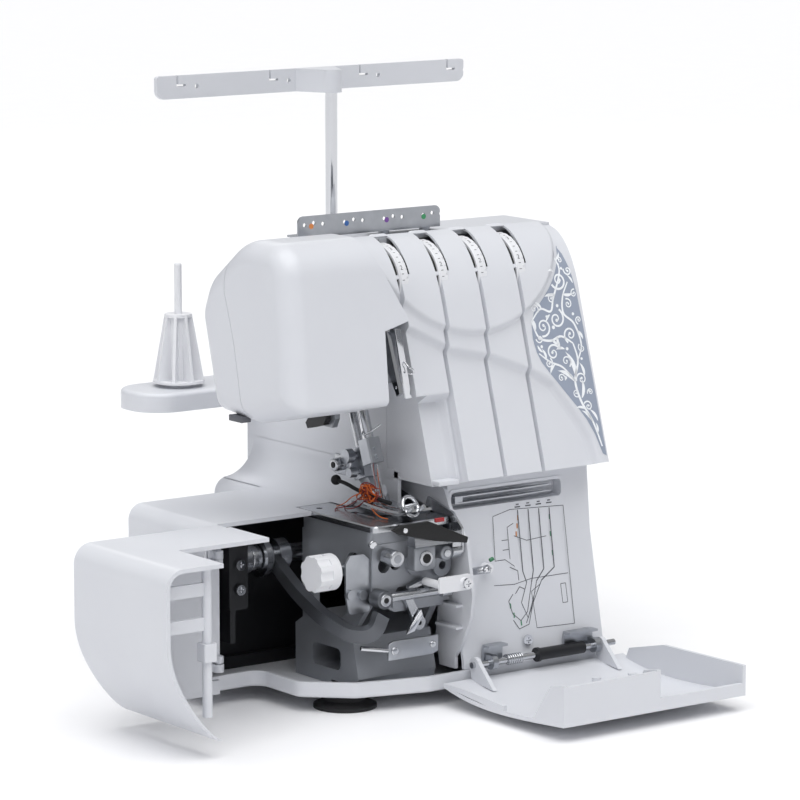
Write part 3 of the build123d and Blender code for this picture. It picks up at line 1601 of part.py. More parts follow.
with BuildPart() as side_door:
    with BuildSketch(door_section(door_start)):
        with BuildLine():
            door_outline(0)
        make_face()
    extrude(amount=door_length)
    with BuildSketch(door_section(door_start + wall)):
        with BuildLine():
            door_outline(wall)
        make_face()
    extrude(amount=door_length, mode=Mode.SUBTRACT)
    # open underside and back
    with BuildSketch(door_place.offset(door_low - 1)):
        with Locations(((door_start + door_end) / 2, -30)):
            Rectangle(door_length + 2, 80)
    extrude(amount=wall + 3.5, mode=Mode.SUBTRACT)
    # the top's shallow part, and relief beside the hinge
    with BuildSketch(door_place.offset(0)):
        with Locations(((door_short + door_end) / 2 + 1, (door_shallow_back + 20) / 2)):
            Rectangle(door_end - door_short + 2, 20 - door_shallow_back)
        with Locations((-1, 13)):
            Rectangle(12, 20)
    extrude(amount=200, mode=Mode.SUBTRACT)
    with BuildSketch(door_place.offset(20)):
        with Locations((door_start, 0)):
            Rectangle(9, 16)
    extrude(amount=12, mode=Mode.SUBTRACT)
    with BuildSketch(door_place.offset(98)):
        with Locations((door_start, 0)):
            Rectangle(9, 16)
    extrude(amount=12, mode=Mode.SUBTRACT)
    # hinge knuckles with their pins
    knuckle_tall = 4.0
    for lug_low, low, pin_low in (
        (lug_lows[0], lug_lows[0] + lug_tall + 1, lug_lows[0]),
        (lug_lows[1], lug_lows[1] - knuckle_tall - 0.3, lug_lows[1] - 0.3),
    ):
        with BuildSketch(door_place.offset(low)):
            Circle(2 * door_pin - 0.2)
            with Locations((-2.4, 0)):
                Rectangle(4, 4 * door_pin - 0.4)
        extrude(amount=knuckle_tall)
        with BuildSketch(door_place.offset(pin_low)):
            Circle(door_pin)
        extrude(amount=lug_tall + 1.3)
    # guide rod with its clip near the free end
    with BuildSketch(door_place.offset(24)):
        with Locations((86, rod_depth)):
            Circle(3)
    extrude(amount=bed_top - wall - 23.5)
    with BuildSketch(door_place.offset(58)):
        with Locations((86, rod_depth)):
            RectangleRounded(9, 9, 1)
    extrude(amount=11)
    for low, tall in ((77, 8), (98, 8)):
        with BuildSketch(door_place.offset(low)):
            with Locations((86, (rod_depth - door_reach) / 2 + 0.5)):
                Rectangle(2.4, rod_depth + door_reach - 1)
        extrude(amount=tall)
save(side_door, "side_door")

# ---- controls on the right side, screws, lamp and tweezers ---------------------------------
for name, z in (("stitch_length_dial", 110), ("feed_ratio_dial", 60)):
    with BuildPart() as side_dial:
        with BuildSketch(Plane.YZ.offset(body_right + 0.5)):
            with Locations((108, z)):
                Circle(13)
                with PolarLocations(13 + 3.2, 16):
                    Circle(4, mode=Mode.SUBTRACT)
        extrude(amount=9)
        with BuildSketch(Plane.YZ.offset(body_right + 9.5)):
            with Locations((108, z)):
                Rectangle(2, 18)
        extrude(amount=1.2)
        with BuildSketch(Plane.YZ.offset(body_right - 8)):
            with Locations((108, z)):
                Circle(6.15)
        extrude(amount=8.6)
    save(side_dial, name)

with BuildPart() as power_switch:
    with BuildSketch(Plane.XZ.offset(-13)) as rocker_side:
        with BuildLine():
            Polyline(
                (body_right - 6, 34),
                (body_right - 6, 50),
                (body_right + 1, 52.2),
                (body_right + 2.6, 51.5),
                (body_right + 0.9, 42),
                (body_right + 2.6, 32.5),
                (body_right + 1, 31.8),
                close=True,
            )
        make_face()
        with Locations((body_right - 2, 42)):
            Circle(1, mode=Mode.SUBTRACT)
    extrude(amount=-14)
save(power_switch, "power_switch")

with BuildPart() as casing_screws:
    for x, y, z in ((80, -56.2, 33), (19, -73.2, 80), (-90, bracket_y - 1.6, 90), (-90, bracket_y - 1.6, 74)):
        with BuildSketch(Plane.XZ.offset(-y)):
            with Locations((x, z)):
                Circle(3.4)
        extrude(amount=1.6)
        with BuildSketch(Plane.XZ.offset(-y + 1.6)):
            with Locations((x, z)):
                Rectangle(4, 0.9)
                Rectangle(0.9, 4)
        extrude(amount=-0.9, mode=Mode.SUBTRACT)
    with BuildSketch(Plane.XZ.offset(-body_back - 1.8)):
        with Locations((30, 30), (130, 30), (30, 150), (130, 150)):
            Circle(4)
    extrude(amount=1.8)
save(casing_screws, "casing_screws")

with BuildPart() as sewing_lamp:
    with BuildSketch(Plane.XY.offset(head_low + 3)):
        with Locations((-26, -10)):
            RectangleRounded(5, 16, 1)
    extrude(amount=5)
save(sewing_lamp, "sewing_lamp")

with BuildPart() as tweezers:
    for side in (-1, 1):
        with BuildSketch(Plane.XY.offset(tray_z + side * 2 - 0.4)):
            with BuildLine():
                y = -35.6
                Polyline(
                    (tray_mid - 40, y - 2.4),
                    (tray_mid - 36, y - 3),
                    (tray_mid + 12, y - 2.6),
                    (tray_mid + 38, y - 0.8),
                    (tray_mid + 38, y + 0.8),
                    (tray_mid + 12, y + 2.6),
                    (tray_mid - 36, y + 3),
                    (tray_mid - 40, y + 2.4),
                    close=True,
                )
            make_face()
        extrude(amount=0.8)
    with BuildSketch(Plane.XY.offset(tray_z - 2.4)):
        with Locations((tray_mid - 37, y)):
            Rectangle(6, 4.8)
    extrude(amount=4.8)
save(tweezers, "tweezers")
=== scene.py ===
"""The looks of a four-thread overlock sewing machine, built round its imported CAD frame."""

import math

import bmesh
import bpy
from mathutils import Matrix, Vector


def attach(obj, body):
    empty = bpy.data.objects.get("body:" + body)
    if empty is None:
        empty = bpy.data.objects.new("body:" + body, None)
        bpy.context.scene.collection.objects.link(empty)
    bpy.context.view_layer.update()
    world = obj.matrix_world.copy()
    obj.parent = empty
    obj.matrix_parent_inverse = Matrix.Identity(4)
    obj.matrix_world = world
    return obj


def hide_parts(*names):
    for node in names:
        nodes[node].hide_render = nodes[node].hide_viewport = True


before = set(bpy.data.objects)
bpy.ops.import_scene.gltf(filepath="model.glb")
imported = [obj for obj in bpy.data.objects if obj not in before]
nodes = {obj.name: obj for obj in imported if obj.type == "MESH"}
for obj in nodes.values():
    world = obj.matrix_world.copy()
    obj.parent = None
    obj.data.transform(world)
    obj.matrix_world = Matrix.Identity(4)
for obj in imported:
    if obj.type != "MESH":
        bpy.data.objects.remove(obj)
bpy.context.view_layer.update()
mm = 0.001

# ---- where the machine is seen from --------------------------------------------------------
# A long lens on a tripod, a little above the table and well to the machine's left.
bpy.ops.object.select_all(action="DESELECT")
sight = Vector((0.58562, 0.79431, -0.1616))
bpy.ops.object.camera_add(
    location=(-1.51449, -2.08273, 0.60936), rotation=sight.to_track_quat("-Z", "Y").to_euler()
)
camera = bpy.context.object
camera.data.lens = 186.75
camera.data.sensor_width = 36
camera.data.clip_end = 20
bpy.context.scene.camera = camera


# ---- casings -------------------------------------------------------------------------------
# Injection-moulded ABS in a cool white, with a fine spark-eroded grain from the mould.
# It has a soft satin gloss, and its tone drifts very slightly over a large panel.
def linear(code):
    """An sRGB hex colour as a linear RGBA tuple."""
    parts = [int(code[i : i + 2], 16) / 255 for i in (1, 3, 5)]
    return tuple(p / 12.92 if p <= 0.04045 else ((p + 0.055) / 1.055) ** 2.4 for p in parts) + (1,)


def put(tree, kind, links=(), **settings):
    """Add a shader node; settings name its sockets or properties, links are (socket, output)."""
    node = tree.nodes.new(kind)
    for name, value in settings.items():
        socket = node.inputs.get(name.replace("_", " "))
        if socket is not None and name[0].isupper():
            socket.default_value = value
        else:
            setattr(node, name, value)
    for name, output in links:
        tree.links.new(output, node.inputs[name])
    return node


def surface(name, colour, other, rough, grain_mm, bump, metal=0.0, stretch=(1, 1, 1), drift_mm=40, **shader):
    """A finish whose colour drifts between two tones, with a grain of a real size."""
    material = bpy.data.materials.new(name)
    material.use_nodes = True
    tree = material.node_tree
    bsdf = tree.nodes["Principled BSDF"]
    place = put(tree, "ShaderNodeTexCoord")
    turned = put(tree, "ShaderNodeMapping", [("Vector", place.outputs["Object"])], Scale=stretch)
    drift = put(
        tree, "ShaderNodeTexNoise", [("Vector", place.outputs["Object"])],
        Scale=1 / (drift_mm * mm), Detail=2.0, Roughness=0.5,
    )
    grain = put(
        tree, "ShaderNodeTexNoise", [("Vector", turned.outputs["Vector"])],
        Scale=1 / (grain_mm * mm), Detail=3.0, Roughness=0.6,
    )
    tone = put(tree, "ShaderNodeMix", [("Factor", drift.outputs["Fac"])], data_type="RGBA")
    tone.inputs["A"].default_value = linear(colour)
    tone.inputs["B"].default_value = linear(other)
    tree.links.new(tone.outputs["Result"], bsdf.inputs["Base Color"])
    sheen = put(
        tree, "ShaderNodeMapRange", [("Value", grain.outputs["Fac"])],
        To_Min=rough * 0.85, To_Max=min(rough * 1.2, 1.0),
    )
    tree.links.new(sheen.outputs["Result"], bsdf.inputs["Roughness"])
    relief = put(
        tree, "ShaderNodeBump", [("Height", grain.outputs["Fac"])],
        Strength=bump, Distance=0.1 * mm,
    )
    tree.links.new(relief.outputs["Normal"], bsdf.inputs["Normal"])
    bsdf.inputs["Metallic"].default_value = metal
    for socket, value in shader.items():
        bsdf.inputs[socket.replace("_", " ")].default_value = value
    return material


def dress(material, *names):
    """Give CAD nodes a finish."""
    for name in names:
        piece = nodes[name]
        piece.data.materials.clear()
        piece.data.materials.append(material)


white_abs = surface("white_abs", "#D7D9DE", "#D2D4DA", 0.34, 0.7, 0.12, IOR=1.52)
dress(
    white_abs, "base_tray", "bed_casing", "pillar_casing", "tension_panel", "head_casing",
    "head_front_cover", "diagram_panel", "looper_surround", "side_door", "looper_cover",
    "spool_stand", "antenna_bar",
)

# ---- feet and belt: black rubber -----------------------------------------------------------
rubber = surface("black_rubber", "#1B1B1D", "#242427", 0.75, 0.9, 0.25)
dress(rubber, "rubber_feet", "drive_belt")

# ---- castings ------------------------------------------------------------------------------
# Aluminium die castings, left as cast: grey, slightly dull, with a sandy skin.
cast = surface("die_casting", "#A4A7AD", "#8F9298", 0.36, 1.1, 0.4, metal=0.55)
dress(cast, "frame_casting", "arm_casting")

# ---- black plated sheet and motor ----------------------------------------------------------
black_plate = surface("black_plated_steel", "#1C1D20", "#26272B", 0.42, 0.8, 0.2, metal=0.3)
dress(black_plate, "inner_wall", "motor", "hinge_sleeve", "power_inlet", "power_switch", "antenna_tube")
dress(black_plate, "presser_lifter")

# ---- ground and brushed steel --------------------------------------------------------------
ground = surface("ground_steel", "#C3C5C9", "#B2B4B8", 0.25, 0.9, 0.03, metal=1.0, stretch=(0.1, 1, 1))
dress(
    ground, "needle_plate", "main_shaft", "presser_bar", "rocker_shaft", "lower_looper",
    "upper_looper", "upper_knife", "knife_shaft", "feed_dog",
)

# ---- chrome plating ------------------------------------------------------------------------
chrome = surface("chrome_plate", "#D5D6D9", "#CACCD0", 0.09, 2.0, 0.03, metal=1.0)
dress(
    chrome, "needle_bar", "needles", "presser_foot", "take_up_lever", "antenna_pole",
    "hinge_rod", "casing_screws",
)

# ---- galvanised sheet ----------------------------------------------------------------------
zinc = surface("galvanised_sheet", "#B9BCC1", "#A4A7AD", 0.33, 3.0, 0.05, metal=1.0, drift_mm=8)
dress(zinc, "thread_guide_plate", "tension_spindles", "hinge_brackets", "motor_pulley")
dress(zinc, "lower_knife", "needle_clamp", "foot_holder", "tweezers")

bronze = surface("sintered_bronze", "#8A6A3C", "#775A32", 0.5, 0.6, 0.3, metal=1.0)
dress(bronze, "bushes")

# ---- white controls ------------------------------------------------------------------------
white_control = surface("white_control_plastic", "#E6E7EA", "#E1E2E6", 0.38, 0.6, 0.08, IOR=1.49)
dress(
    white_control, "handwheel", "knife_knob", "looper_thread_guides", "tension_dial_1",
    "tension_dial_2", "tension_dial_3", "tension_dial_4", "stitch_length_dial",
    "feed_ratio_dial", "spool_pins", "cone_holders",
)
lamp_lens = surface("frosted_lens", "#F4F3EC", "#ECEBE4", 0.45, 0.8, 0.1, Transmission_Weight=0.5)
dress(lamp_lens, "sewing_lamp")

# ---- upper front panel ---------------------------------------------------------------------
# One ABS moulding that leans back and rolls over on top. A round field stands proud under the
# four dials, a swept step runs down to the right, and a thread groove leaves each dial slot.
panel_left, panel_right = -24.0, 142.0
panel_foot, panel_head = Vector((0, -61, 142)), Vector((0, -28.3, 252.5))
roll = [panel_head, Vector((0, -24.3, 265.9)), Vector((0, -15.4, 283.1)), Vector((0, -2, 287))]
panel_end = Vector((0, 1.6, 288.2))
dial_first, dial_pitch, slot_half = 4.6, 30.7, 5.4
dials = [dial_first + i * dial_pitch for i in range(4)]
slot_foot = 265.5
grooves = [x - slot_half + 1.2 for x in dials]
sweep = [
    (-30, 246), (7, 238), (26, 228), (35, 223), (65, 216.5), (94.5, 205), (111, 195),
    (120, 182), (128, 169), (133, 158), (135, 141), (135.5, 120),
]
dome = (57, 309, 81)


def blend_step(t):
    """Smooth rise from 0 to 1."""
    t = max(0.0, min(1.0, t))
    return t * t * (3 - 2 * t)


def below_sweep(x, z):
    """Distance below the swept step, in mm; negative above it."""
    best, side = 1e9, 1
    for (ax, az), (bx, bz) in zip(sweep, sweep[1:]):
        dx, dz = bx - ax, bz - az
        t = max(0.0, min(1.0, ((x - ax) * dx + (z - az) * dz) / (dx * dx + dz * dz)))
        px, pz = x - ax - t * dx, z - az - t * dz
        gap = math.hypot(px, pz)
        if gap < best:
            best, side = gap, 1 if dx * pz - dz * px < 0 else -1
    return best * side


def panel_height(x, z):
    """How far the panel's skin stands out of its plain sloping face, in mm."""
    height = 3.6 * blend_step((dome[2] - math.hypot(x - dome[0], z - dome[1])) / 3.6)
    low = below_sweep(x, z)
    height -= 4.6 * blend_step(low / 4.5)
    height -= 11.0 * blend_step((196.5 - z) / 4) * blend_step((33.0 - x) / 8)
    if z < slot_foot:
        for i, groove in enumerate(grooves):
            if z > 240 or i > 0:
                height -= 4.2 * blend_step((1.5 - abs(x - groove)) / 0.6)
    return height


def panel_point(x, along):
    """A point of the panel's skin: along runs up its side profile, in mm."""
    slope = (panel_head - panel_foot).length
    if along <= slope:
        at = panel_foot.lerp(panel_head, along / slope)
        way = (panel_head - panel_foot).normalized()
    elif along <= slope + roll_length:
        t = (along - slope) / roll_length
        a, b, c, d = roll
        at = (1 - t) ** 3 * a + 3 * t * (1 - t) ** 2 * b + 3 * t * t * (1 - t) * c + t**3 * d
        way = ((1 - t) ** 2 * (b - a) + 2 * t * (1 - t) * (c - b) + t * t * (d - c)).normalized()
    else:
        t = (along - slope - roll_length) / (panel_end - roll[3]).length
        at = roll[3].lerp(panel_end, min(t, 1.0))
        way = (panel_end - roll[3]).normalized()
    out = Vector((0, -way.z, way.y))
    at = at + out * panel_height(x, at.z)
    return Vector((x, at.y, at.z))


def spaced(low, high, step, marks):
    """Grid lines about step apart that pass exactly through the marks."""
    stops = sorted({low, high, *[m for m in marks if low < m < high]})
    lines = []
    for a, b in zip(stops, stops[1:]):
        count = max(1, round((b - a) / step))
        lines += [a + (b - a) * i / count for i in range(count)]
    return lines + [high]


def skin(name, columns, rows, point, keep):
    """A sheet of quads over a grid of lines, leaving out the cells that keep refuses."""
    shape = bmesh.new()
    grid = [[shape.verts.new(point(x, s) * mm) for s in rows] for x in columns]
    for i in range(len(columns) - 1):
        for j in range(len(rows) - 1):
            x, s = (columns[i] + columns[i + 1]) / 2, (rows[j] + rows[j + 1]) / 2
            if keep(x, s):
                shape.faces.new((grid[i][j], grid[i + 1][j], grid[i + 1][j + 1], grid[i][j + 1]))
    loose = [v for v in shape.verts if not v.link_faces]
    bmesh.ops.delete(shape, geom=loose, context="VERTS")
    mesh = bpy.data.meshes.new(name)
    shape.to_mesh(mesh)
    shape.free()
    piece = bpy.data.objects.new(name, mesh)
    bpy.context.scene.collection.objects.link(piece)
    return piece


def only(piece):
    """Select one object and make it active."""
    bpy.ops.object.select_all(action="DESELECT")
    piece.select_set(True)
    bpy.context.view_layer.objects.active = piece


def smooth(piece, degrees=30):
    """Smooth shading that keeps edges sharper than the angle."""
    only(piece)
    bpy.ops.object.shade_smooth_by_angle(angle=math.radians(degrees))


slope_length = (panel_head - panel_foot).length
roll_length = 41.0
panel_rise = slope_length + roll_length + (panel_end - roll[3]).length


def along_for(z):
    """The distance up the sloping face at a height."""
    return (z - panel_foot.z) / (panel_head.z - panel_foot.z) * slope_length


slot_start = slope_length + roll_length * 0.36
notch_top, notch_low, notch_right, foot_left = 242.0, 196.0, 4.0, 12.0


def in_panel(x, along):
    """Whether a cell of the panel's grid is skin: not a dial slot, nor outside its outline."""
    if any(abs(x - d) < slot_half for d in dials) and slot_start < along < panel_rise - 2:
        return False
    if x < notch_right and along < along_for(notch_top):
        return False
    return not (x < foot_left and along < along_for(notch_low))


marks = [d + s * slot_half for d in dials for s in (-1, 1)] + [notch_right, foot_left]
marks += [g + t for g in grooves for t in (-1.5, -1.2, -0.9, 0, 0.9, 1.2, 1.5)]
tension_skin = skin(
    "tension_panel_skin",
    spaced(panel_left, panel_right, 0.9, marks),
    spaced(0, panel_rise, 0.9, [slot_start, along_for(notch_top), along_for(notch_low), panel_rise - 2]),
    panel_point,
    in_panel,
)
only(tension_skin)
bpy.ops.object.mode_set(mode="EDIT")
bpy.ops.mesh.select_mode(type="EDGE")
bpy.ops.mesh.select_all(action="DESELECT")
bpy.ops.mesh.select_non_manifold()
bpy.ops.mesh.extrude_region_move(TRANSFORM_OT_translate={"value": (0, 3 * mm, 0)})
bpy.ops.object.mode_set(mode="OBJECT")
for vertex in tension_skin.data.vertices:
    at = vertex.co / mm
    round_slot = any(abs(at.x - d) < slot_half + 0.1 for d in dials) and slot_foot - 6 < at.z and at.y < -3
    if vertex.select and not round_slot:
        vertex.co.y = panel_end.y * mm
    vertex.co.y = min(vertex.co.y, panel_end.y * mm)
only(tension_skin)
bpy.ops.object.mode_set(mode="EDIT")
bpy.ops.mesh.select_all(action="SELECT")
bpy.ops.mesh.remove_doubles(threshold=0.02 * mm)
bpy.ops.mesh.normals_make_consistent(inside=False)
bpy.ops.object.mode_set(mode="OBJECT")
shell = tension_skin.modifiers.new("wall", "SOLIDIFY")
shell.thickness = 1.4 * mm
shell.offset = -1
bpy.ops.object.modifier_apply(modifier="wall")
smooth(tension_skin, 40)
tension_skin.data.materials.append(white_abs)
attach(tension_skin, "machine")
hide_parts("tension_panel")


# ---- printed decor -------------------------------------------------------------------------
# A grey-blue foil on the panel's right field, printed with curling white stems: spirals that
# branch off one stalk, with pointed leaves and round berries between them.
def flat_patch(name, outline, lift, material, body="machine", lies=None):
    """A thin printed patch: an outline in x and z laid on the panel's face."""
    shape = bmesh.new()
    corners = [shape.verts.new((x * mm, 0, z * mm)) for x, z in outline]
    shape.faces.new(corners)
    bmesh.ops.triangulate(shape, faces=shape.faces[:])
    for level in range(252, 292, 3):
        bmesh.ops.bisect_plane(
            shape, geom=shape.verts[:] + shape.edges[:] + shape.faces[:],
            plane_co=(0, 0, level * mm), plane_no=(0, 0, 1),
        )
    lay_on_panel(shape, lift)
    return printed(name, shape, material)


def panel_face_y(z):
    """The y of the panel's plain face at a height, roll included."""
    if z <= panel_head.z:
        return panel_foot.y + (z - panel_foot.z) / (panel_head.z - panel_foot.z) * (
            panel_head.y - panel_foot.y
        )
    low, high = 0.0, 1.0
    for _ in range(24):
        t = (low + high) / 2
        a, b, c, d = (p.z for p in roll)
        at = (1 - t) ** 3 * a + 3 * t * (1 - t) ** 2 * b + 3 * t * t * (1 - t) * c + t**3 * d
        low, high = (t, high) if at < z else (low, t)
    a, b, c, d = (p.y for p in roll)
    return (1 - t) ** 3 * a + 3 * t * (1 - t) ** 2 * b + 3 * t * t * (1 - t) * c + t**3 * d


def lay_on_panel(shape, lift):
    """Move a flat shape's points onto the panel's skin, lift mm proud of it."""
    for vertex in shape.verts:
        x, z = vertex.co.x / mm, vertex.co.z / mm
        vertex.co.y = (panel_face_y(z) - panel_height(x, z) * 1.04 - lift) * mm


def printed(name, shape, material):
    """Turn a flat shape into a piece whose faces look outwards."""
    for face in shape.faces:
        face.normal_update()
        if face.normal.y > 0:
            face.normal_flip()
    mesh = bpy.data.meshes.new(name)
    shape.to_mesh(mesh)
    shape.free()
    mesh.materials.append(material)
    piece = bpy.data.objects.new(name, mesh)
    bpy.context.scene.collection.objects.link(piece)
    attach(piece, "machine")
    return piece


foil = surface("grey_blue_foil", "#9AA2B2", "#8F98A9", 0.36, 0.5, 0.05, IOR=1.5)
field = []
for i in range(15):
    turn = math.radians(-22.5 - i * 2.6)
    field.append((dome[0] + (dome[2] + 2.2) * math.cos(turn), dome[1] + (dome[2] + 2.2) * math.sin(turn)))
field = [p for p in field if p[0] > 101.5]
field += [(99, 230), (98.2, 222), (99.4, 214), (102, 207.5)]
field += [(107, 200.5), (112, 194), (118, 186), (124.5, 177.5), (130, 169.5), (134.5, 160), (138.2, 147.5)]
field += [(141, 146), (140.8, 175), (140.6, 200), (140.2, 225), (139.4, 248), (137.8, 262), (135.4, 272), (133, 276.5)]
flat_patch("decor_foil", field, 0.12, foil)

print_white = surface("white_print", "#F2F4F7", "#ECEFF3", 0.4, 0.5, 0.03, IOR=1.5)
scrolls = bmesh.new()


def stem(points, widths):
    """A curling white stem: a ribbon through points, as wide as widths say."""
    left, right = [], []
    count = len(points)
    for i, (x, z) in enumerate(points):
        ax, az = points[max(i - 1, 0)]
        bx, bz = points[min(i + 1, count - 1)]
        size = math.hypot(bx - ax, bz - az) or 1
        half = widths(i / (count - 1)) / 2
        nx, nz = -(bz - az) / size * half, (bx - ax) / size * half
        left.append(scrolls.verts.new(((x + nx) * mm, 0, (z + nz) * mm)))
        right.append(scrolls.verts.new(((x - nx) * mm, 0, (z - nz) * mm)))
    for i in range(count - 1):
        scrolls.faces.new((left[i], left[i + 1], right[i + 1], right[i]))


def spiral(x, z, radius, start, turns, width):
    """A stem that curls inwards from its start angle, in degrees, for so many turns."""
    steps = 44
    points = []
    for i in range(steps + 1):
        t = i / steps
        angle = math.radians(start + 360 * turns * t)
        reach = radius * (1 - 0.86 * t**0.8)
        points.append((x + reach * math.cos(angle), z + reach * math.sin(angle)))
    stem(points, lambda t: width * (1 - 0.45 * t))
    berry(points[-1][0], points[-1][1], width * 0.75)


def berry(x, z, radius):
    """A round dot."""
    ring = [
        scrolls.verts.new(((x + radius * math.cos(a * math.pi / 6)) * mm, 0, (z + radius * math.sin(a * math.pi / 6)) * mm))
        for a in range(12)
    ]
    scrolls.faces.new(ring)


def leaf(x, z, length, turn, width):
    """A pointed leaf that leaves a stem at an angle."""
    angle = math.radians(turn)
    points = [
        (x + t / 12 * length * math.cos(angle + 0.5 * t / 12), z + t / 12 * length * math.sin(angle + 0.5 * t / 12))
        for t in range(13)
    ]
    stem(points, lambda t: max(0.12, width * math.sin(math.pi * min(t + 0.04, 1)) ** 0.8))


def curve(points, steps=30):
    """A smooth run through given points."""
    run = []
    for i in range(len(points) - 1):
        p = [points[max(i - 1, 0)], points[i], points[i + 1], points[min(i + 2, len(points) - 1)]]
        for k in range(steps // (len(points) - 1) + 1):
            t = k / (steps // (len(points) - 1) + 1)
            run.append(tuple(
                0.5 * (2 * p[1][c] + (p[2][c] - p[0][c]) * t
                       + (2 * p[0][c] - 5 * p[1][c] + 4 * p[2][c] - p[3][c]) * t * t
                       + (3 * p[1][c] - p[0][c] - 3 * p[2][c] + p[3][c]) * t**3)
                for c in (0, 1)
            ))
    return run + [points[-1]]


stalks = (
    ([(138.6, 152), (134.5, 168), (128, 181), (126, 194), (131, 206), (129.5, 217)], 1.3),
    ([(129.5, 217), (121, 222), (112, 220), (103, 223), (99.5, 233)], 1.2),
    ([(131, 206), (136, 216), (133, 229), (126, 236), (127.5, 246), (133.5, 255)], 1.1),
    ([(126, 194), (118, 203), (109, 207), (101, 213)], 1.0),
    ([(99.5, 233), (108, 240), (116, 238), (120, 246), (129, 262), (128, 270)], 1.1),
)
for points, width in stalks:
    stem(curve(points), lambda t, w=width: w * (0.8 + 0.5 * math.sin(math.pi * t)))
for x, z, radius, start, turns, width in (
    (126.5, 256.5, 6.4, 200, 1.45, 1.5),
    (119.5, 233, 6.6, 60, -1.4, 1.4),
    (108, 229, 6.2, 250, 1.5, 1.3),
    (128.5, 222.5, 5.6, 240, -1.35, 1.3),
    (112.5, 212.5, 5.8, 20, 1.4, 1.3),
    (131.5, 194.5, 4.6, 190, -1.3, 1.1),
    (121.5, 206.5, 4.2, 300, 1.2, 1.0),
    (133, 177.5, 3.6, 150, -1.3, 1.0),
    (103.2, 240.5, 3.6, 320, 1.2, 1.0),
    (130.8, 241.5, 3.4, 110, -1.3, 1.0),
    (135.6, 262, 3.4, 160, 1.3, 1.1),
    (137.2, 231, 2.8, 250, -1.3, 0.9),
    (135.8, 213.5, 3.0, 120, 1.3, 0.9),
    (136.6, 186, 2.6, 200, -1.3, 0.8),
    (107.5, 206.5, 3.4, 60, -1.3, 1.0),
    (115.5, 196.5, 3.2, 330, 1.3, 0.9),
    (103.5, 222, 3.0, 180, 1.3, 0.9),
    (118.5, 245.5, 3.6, 30, 1.3, 1.0),
    (125.2, 186.5, 2.8, 300, -1.2, 0.8),
    (137, 247.5, 2.8, 70, 1.3, 0.9),
    (131.5, 268.5, 3.0, 240, -1.3, 0.9),
):
    spiral(x, z, radius, start, turns, width)
for x, z, length, turn, width in (
    (127, 196, 17, 78, 3.4), (126, 193, 15, 118, 2.8), (129, 183, 12, 50, 2.4),
    (134, 168, 10, 105, 2.0), (118, 222, 8, 250, 2.2), (113, 221, 7, 300, 1.8),
    (101, 227, 8, 70, 2.0), (128, 248, 8, 330, 2.0), (121, 247, 8, 150, 2.0),
    (106, 209, 7, 80, 1.8), (136.5, 160, 7, 60, 1.6), (127, 270, 6, 60, 1.6),
    (129, 269, 6, 20, 1.4), (109, 240, 7, 110, 1.8), (138, 219, 7, 95, 1.8),
    (134, 196, 9, 75, 2.0), (138.5, 168, 9, 95, 1.8), (112, 205, 7, 200, 1.8),
    (122, 214, 7, 150, 1.8), (115, 236, 6, 200, 1.6), (124, 262, 7, 140, 1.8),
    (137.5, 254, 6, 95, 1.5), (130, 176, 7, 140, 1.6), (101, 218, 6, 280, 1.6),
):
    leaf(x, z, length, turn, width)
for x, z, radius in (
    (116, 228, 1.2), (124, 214, 1.1), (104, 217, 1.0), (133.5, 235, 1.0), (122, 241, 1.1),
    (134.2, 207, 0.9), (119, 196.5, 1.0), (131, 263.5, 0.9), (112, 235, 0.9), (135.5, 187, 0.8),
):
    berry(x, z, radius)
bmesh.ops.triangulate(scrolls, faces=[f for f in scrolls.faces if len(f.verts) > 4])
lay_on_panel(scrolls, 0.24)
printed("decor_scrolls", scrolls, print_white)

# ---- slot shade discs ----------------------------------------------------------------------
# Near-black discs inside the panel, on both sides of each dial: painted shade, so a slot looks
# dark round its dial.
def finish_piece(name, material, body, degrees=35, bevel=0.0):
    """Fix the new piece's place into its mesh, round its edges, and give it finish and body."""
    piece = bpy.context.object
    only(piece)
    bpy.ops.object.transform_apply(location=True, rotation=True, scale=True)
    piece.name = piece.data.name = name
    piece.data.materials.clear()
    piece.data.materials.append(material)
    if bevel:
        rounding = piece.modifiers.new("rounding", "BEVEL")
        rounding.width = bevel * mm
        rounding.segments = 3
        bpy.ops.object.modifier_apply(modifier="rounding")
    smooth(piece, degrees)
    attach(piece, body)
    return piece


def rod(name, start, end, radius, material, body="machine", tip=None, bevel=0.3, sides=32):
    """A round bar between two points; tip is its radius at the end."""
    a, b = Vector(start) * mm, Vector(end) * mm
    bpy.ops.object.select_all(action="DESELECT")
    bpy.ops.mesh.primitive_cone_add(
        vertices=sides, radius1=radius * mm, radius2=(radius if tip is None else tip) * mm,
        depth=(b - a).length, location=(a + b) / 2,
        rotation=(b - a).to_track_quat("Z", "Y").to_euler(),
    )
    return finish_piece(name, material, body, 35, bevel)


def block(name, low, high, material, body="machine", bevel=0.4):
    """A box between two corners, with rounded edges."""
    a, b = Vector(low) * mm, Vector(high) * mm
    bpy.ops.object.select_all(action="DESELECT")
    bpy.ops.mesh.primitive_cube_add(size=1, location=(a + b) / 2, scale=b - a)
    return finish_piece(name, material, body, 35, bevel)


def wire(name, points, radius, material, body="machine", section=None):
    """A wire that runs smoothly through points: round, or of a given section."""
    bpy.ops.object.select_all(action="DESELECT")
    bpy.ops.curve.primitive_bezier_curve_add(location=(0, 0, 0))
    line = bpy.context.object.data
    line.splines[0].bezier_points.add(len(points) - 2)
    for knot, place in zip(line.splines[0].bezier_points, points):
        knot.co = Vector(place) * mm
        knot.handle_left_type = knot.handle_right_type = "AUTO"
    line.bevel_depth = radius * mm
    line.bevel_resolution = 3
    if section:
        line.bevel_mode, line.bevel_object = "OBJECT", section
    line.resolution_u = 8
    line.use_fill_caps = True
    bpy.ops.object.convert(target="MESH")
    return finish_piece(name, material, body, 50)


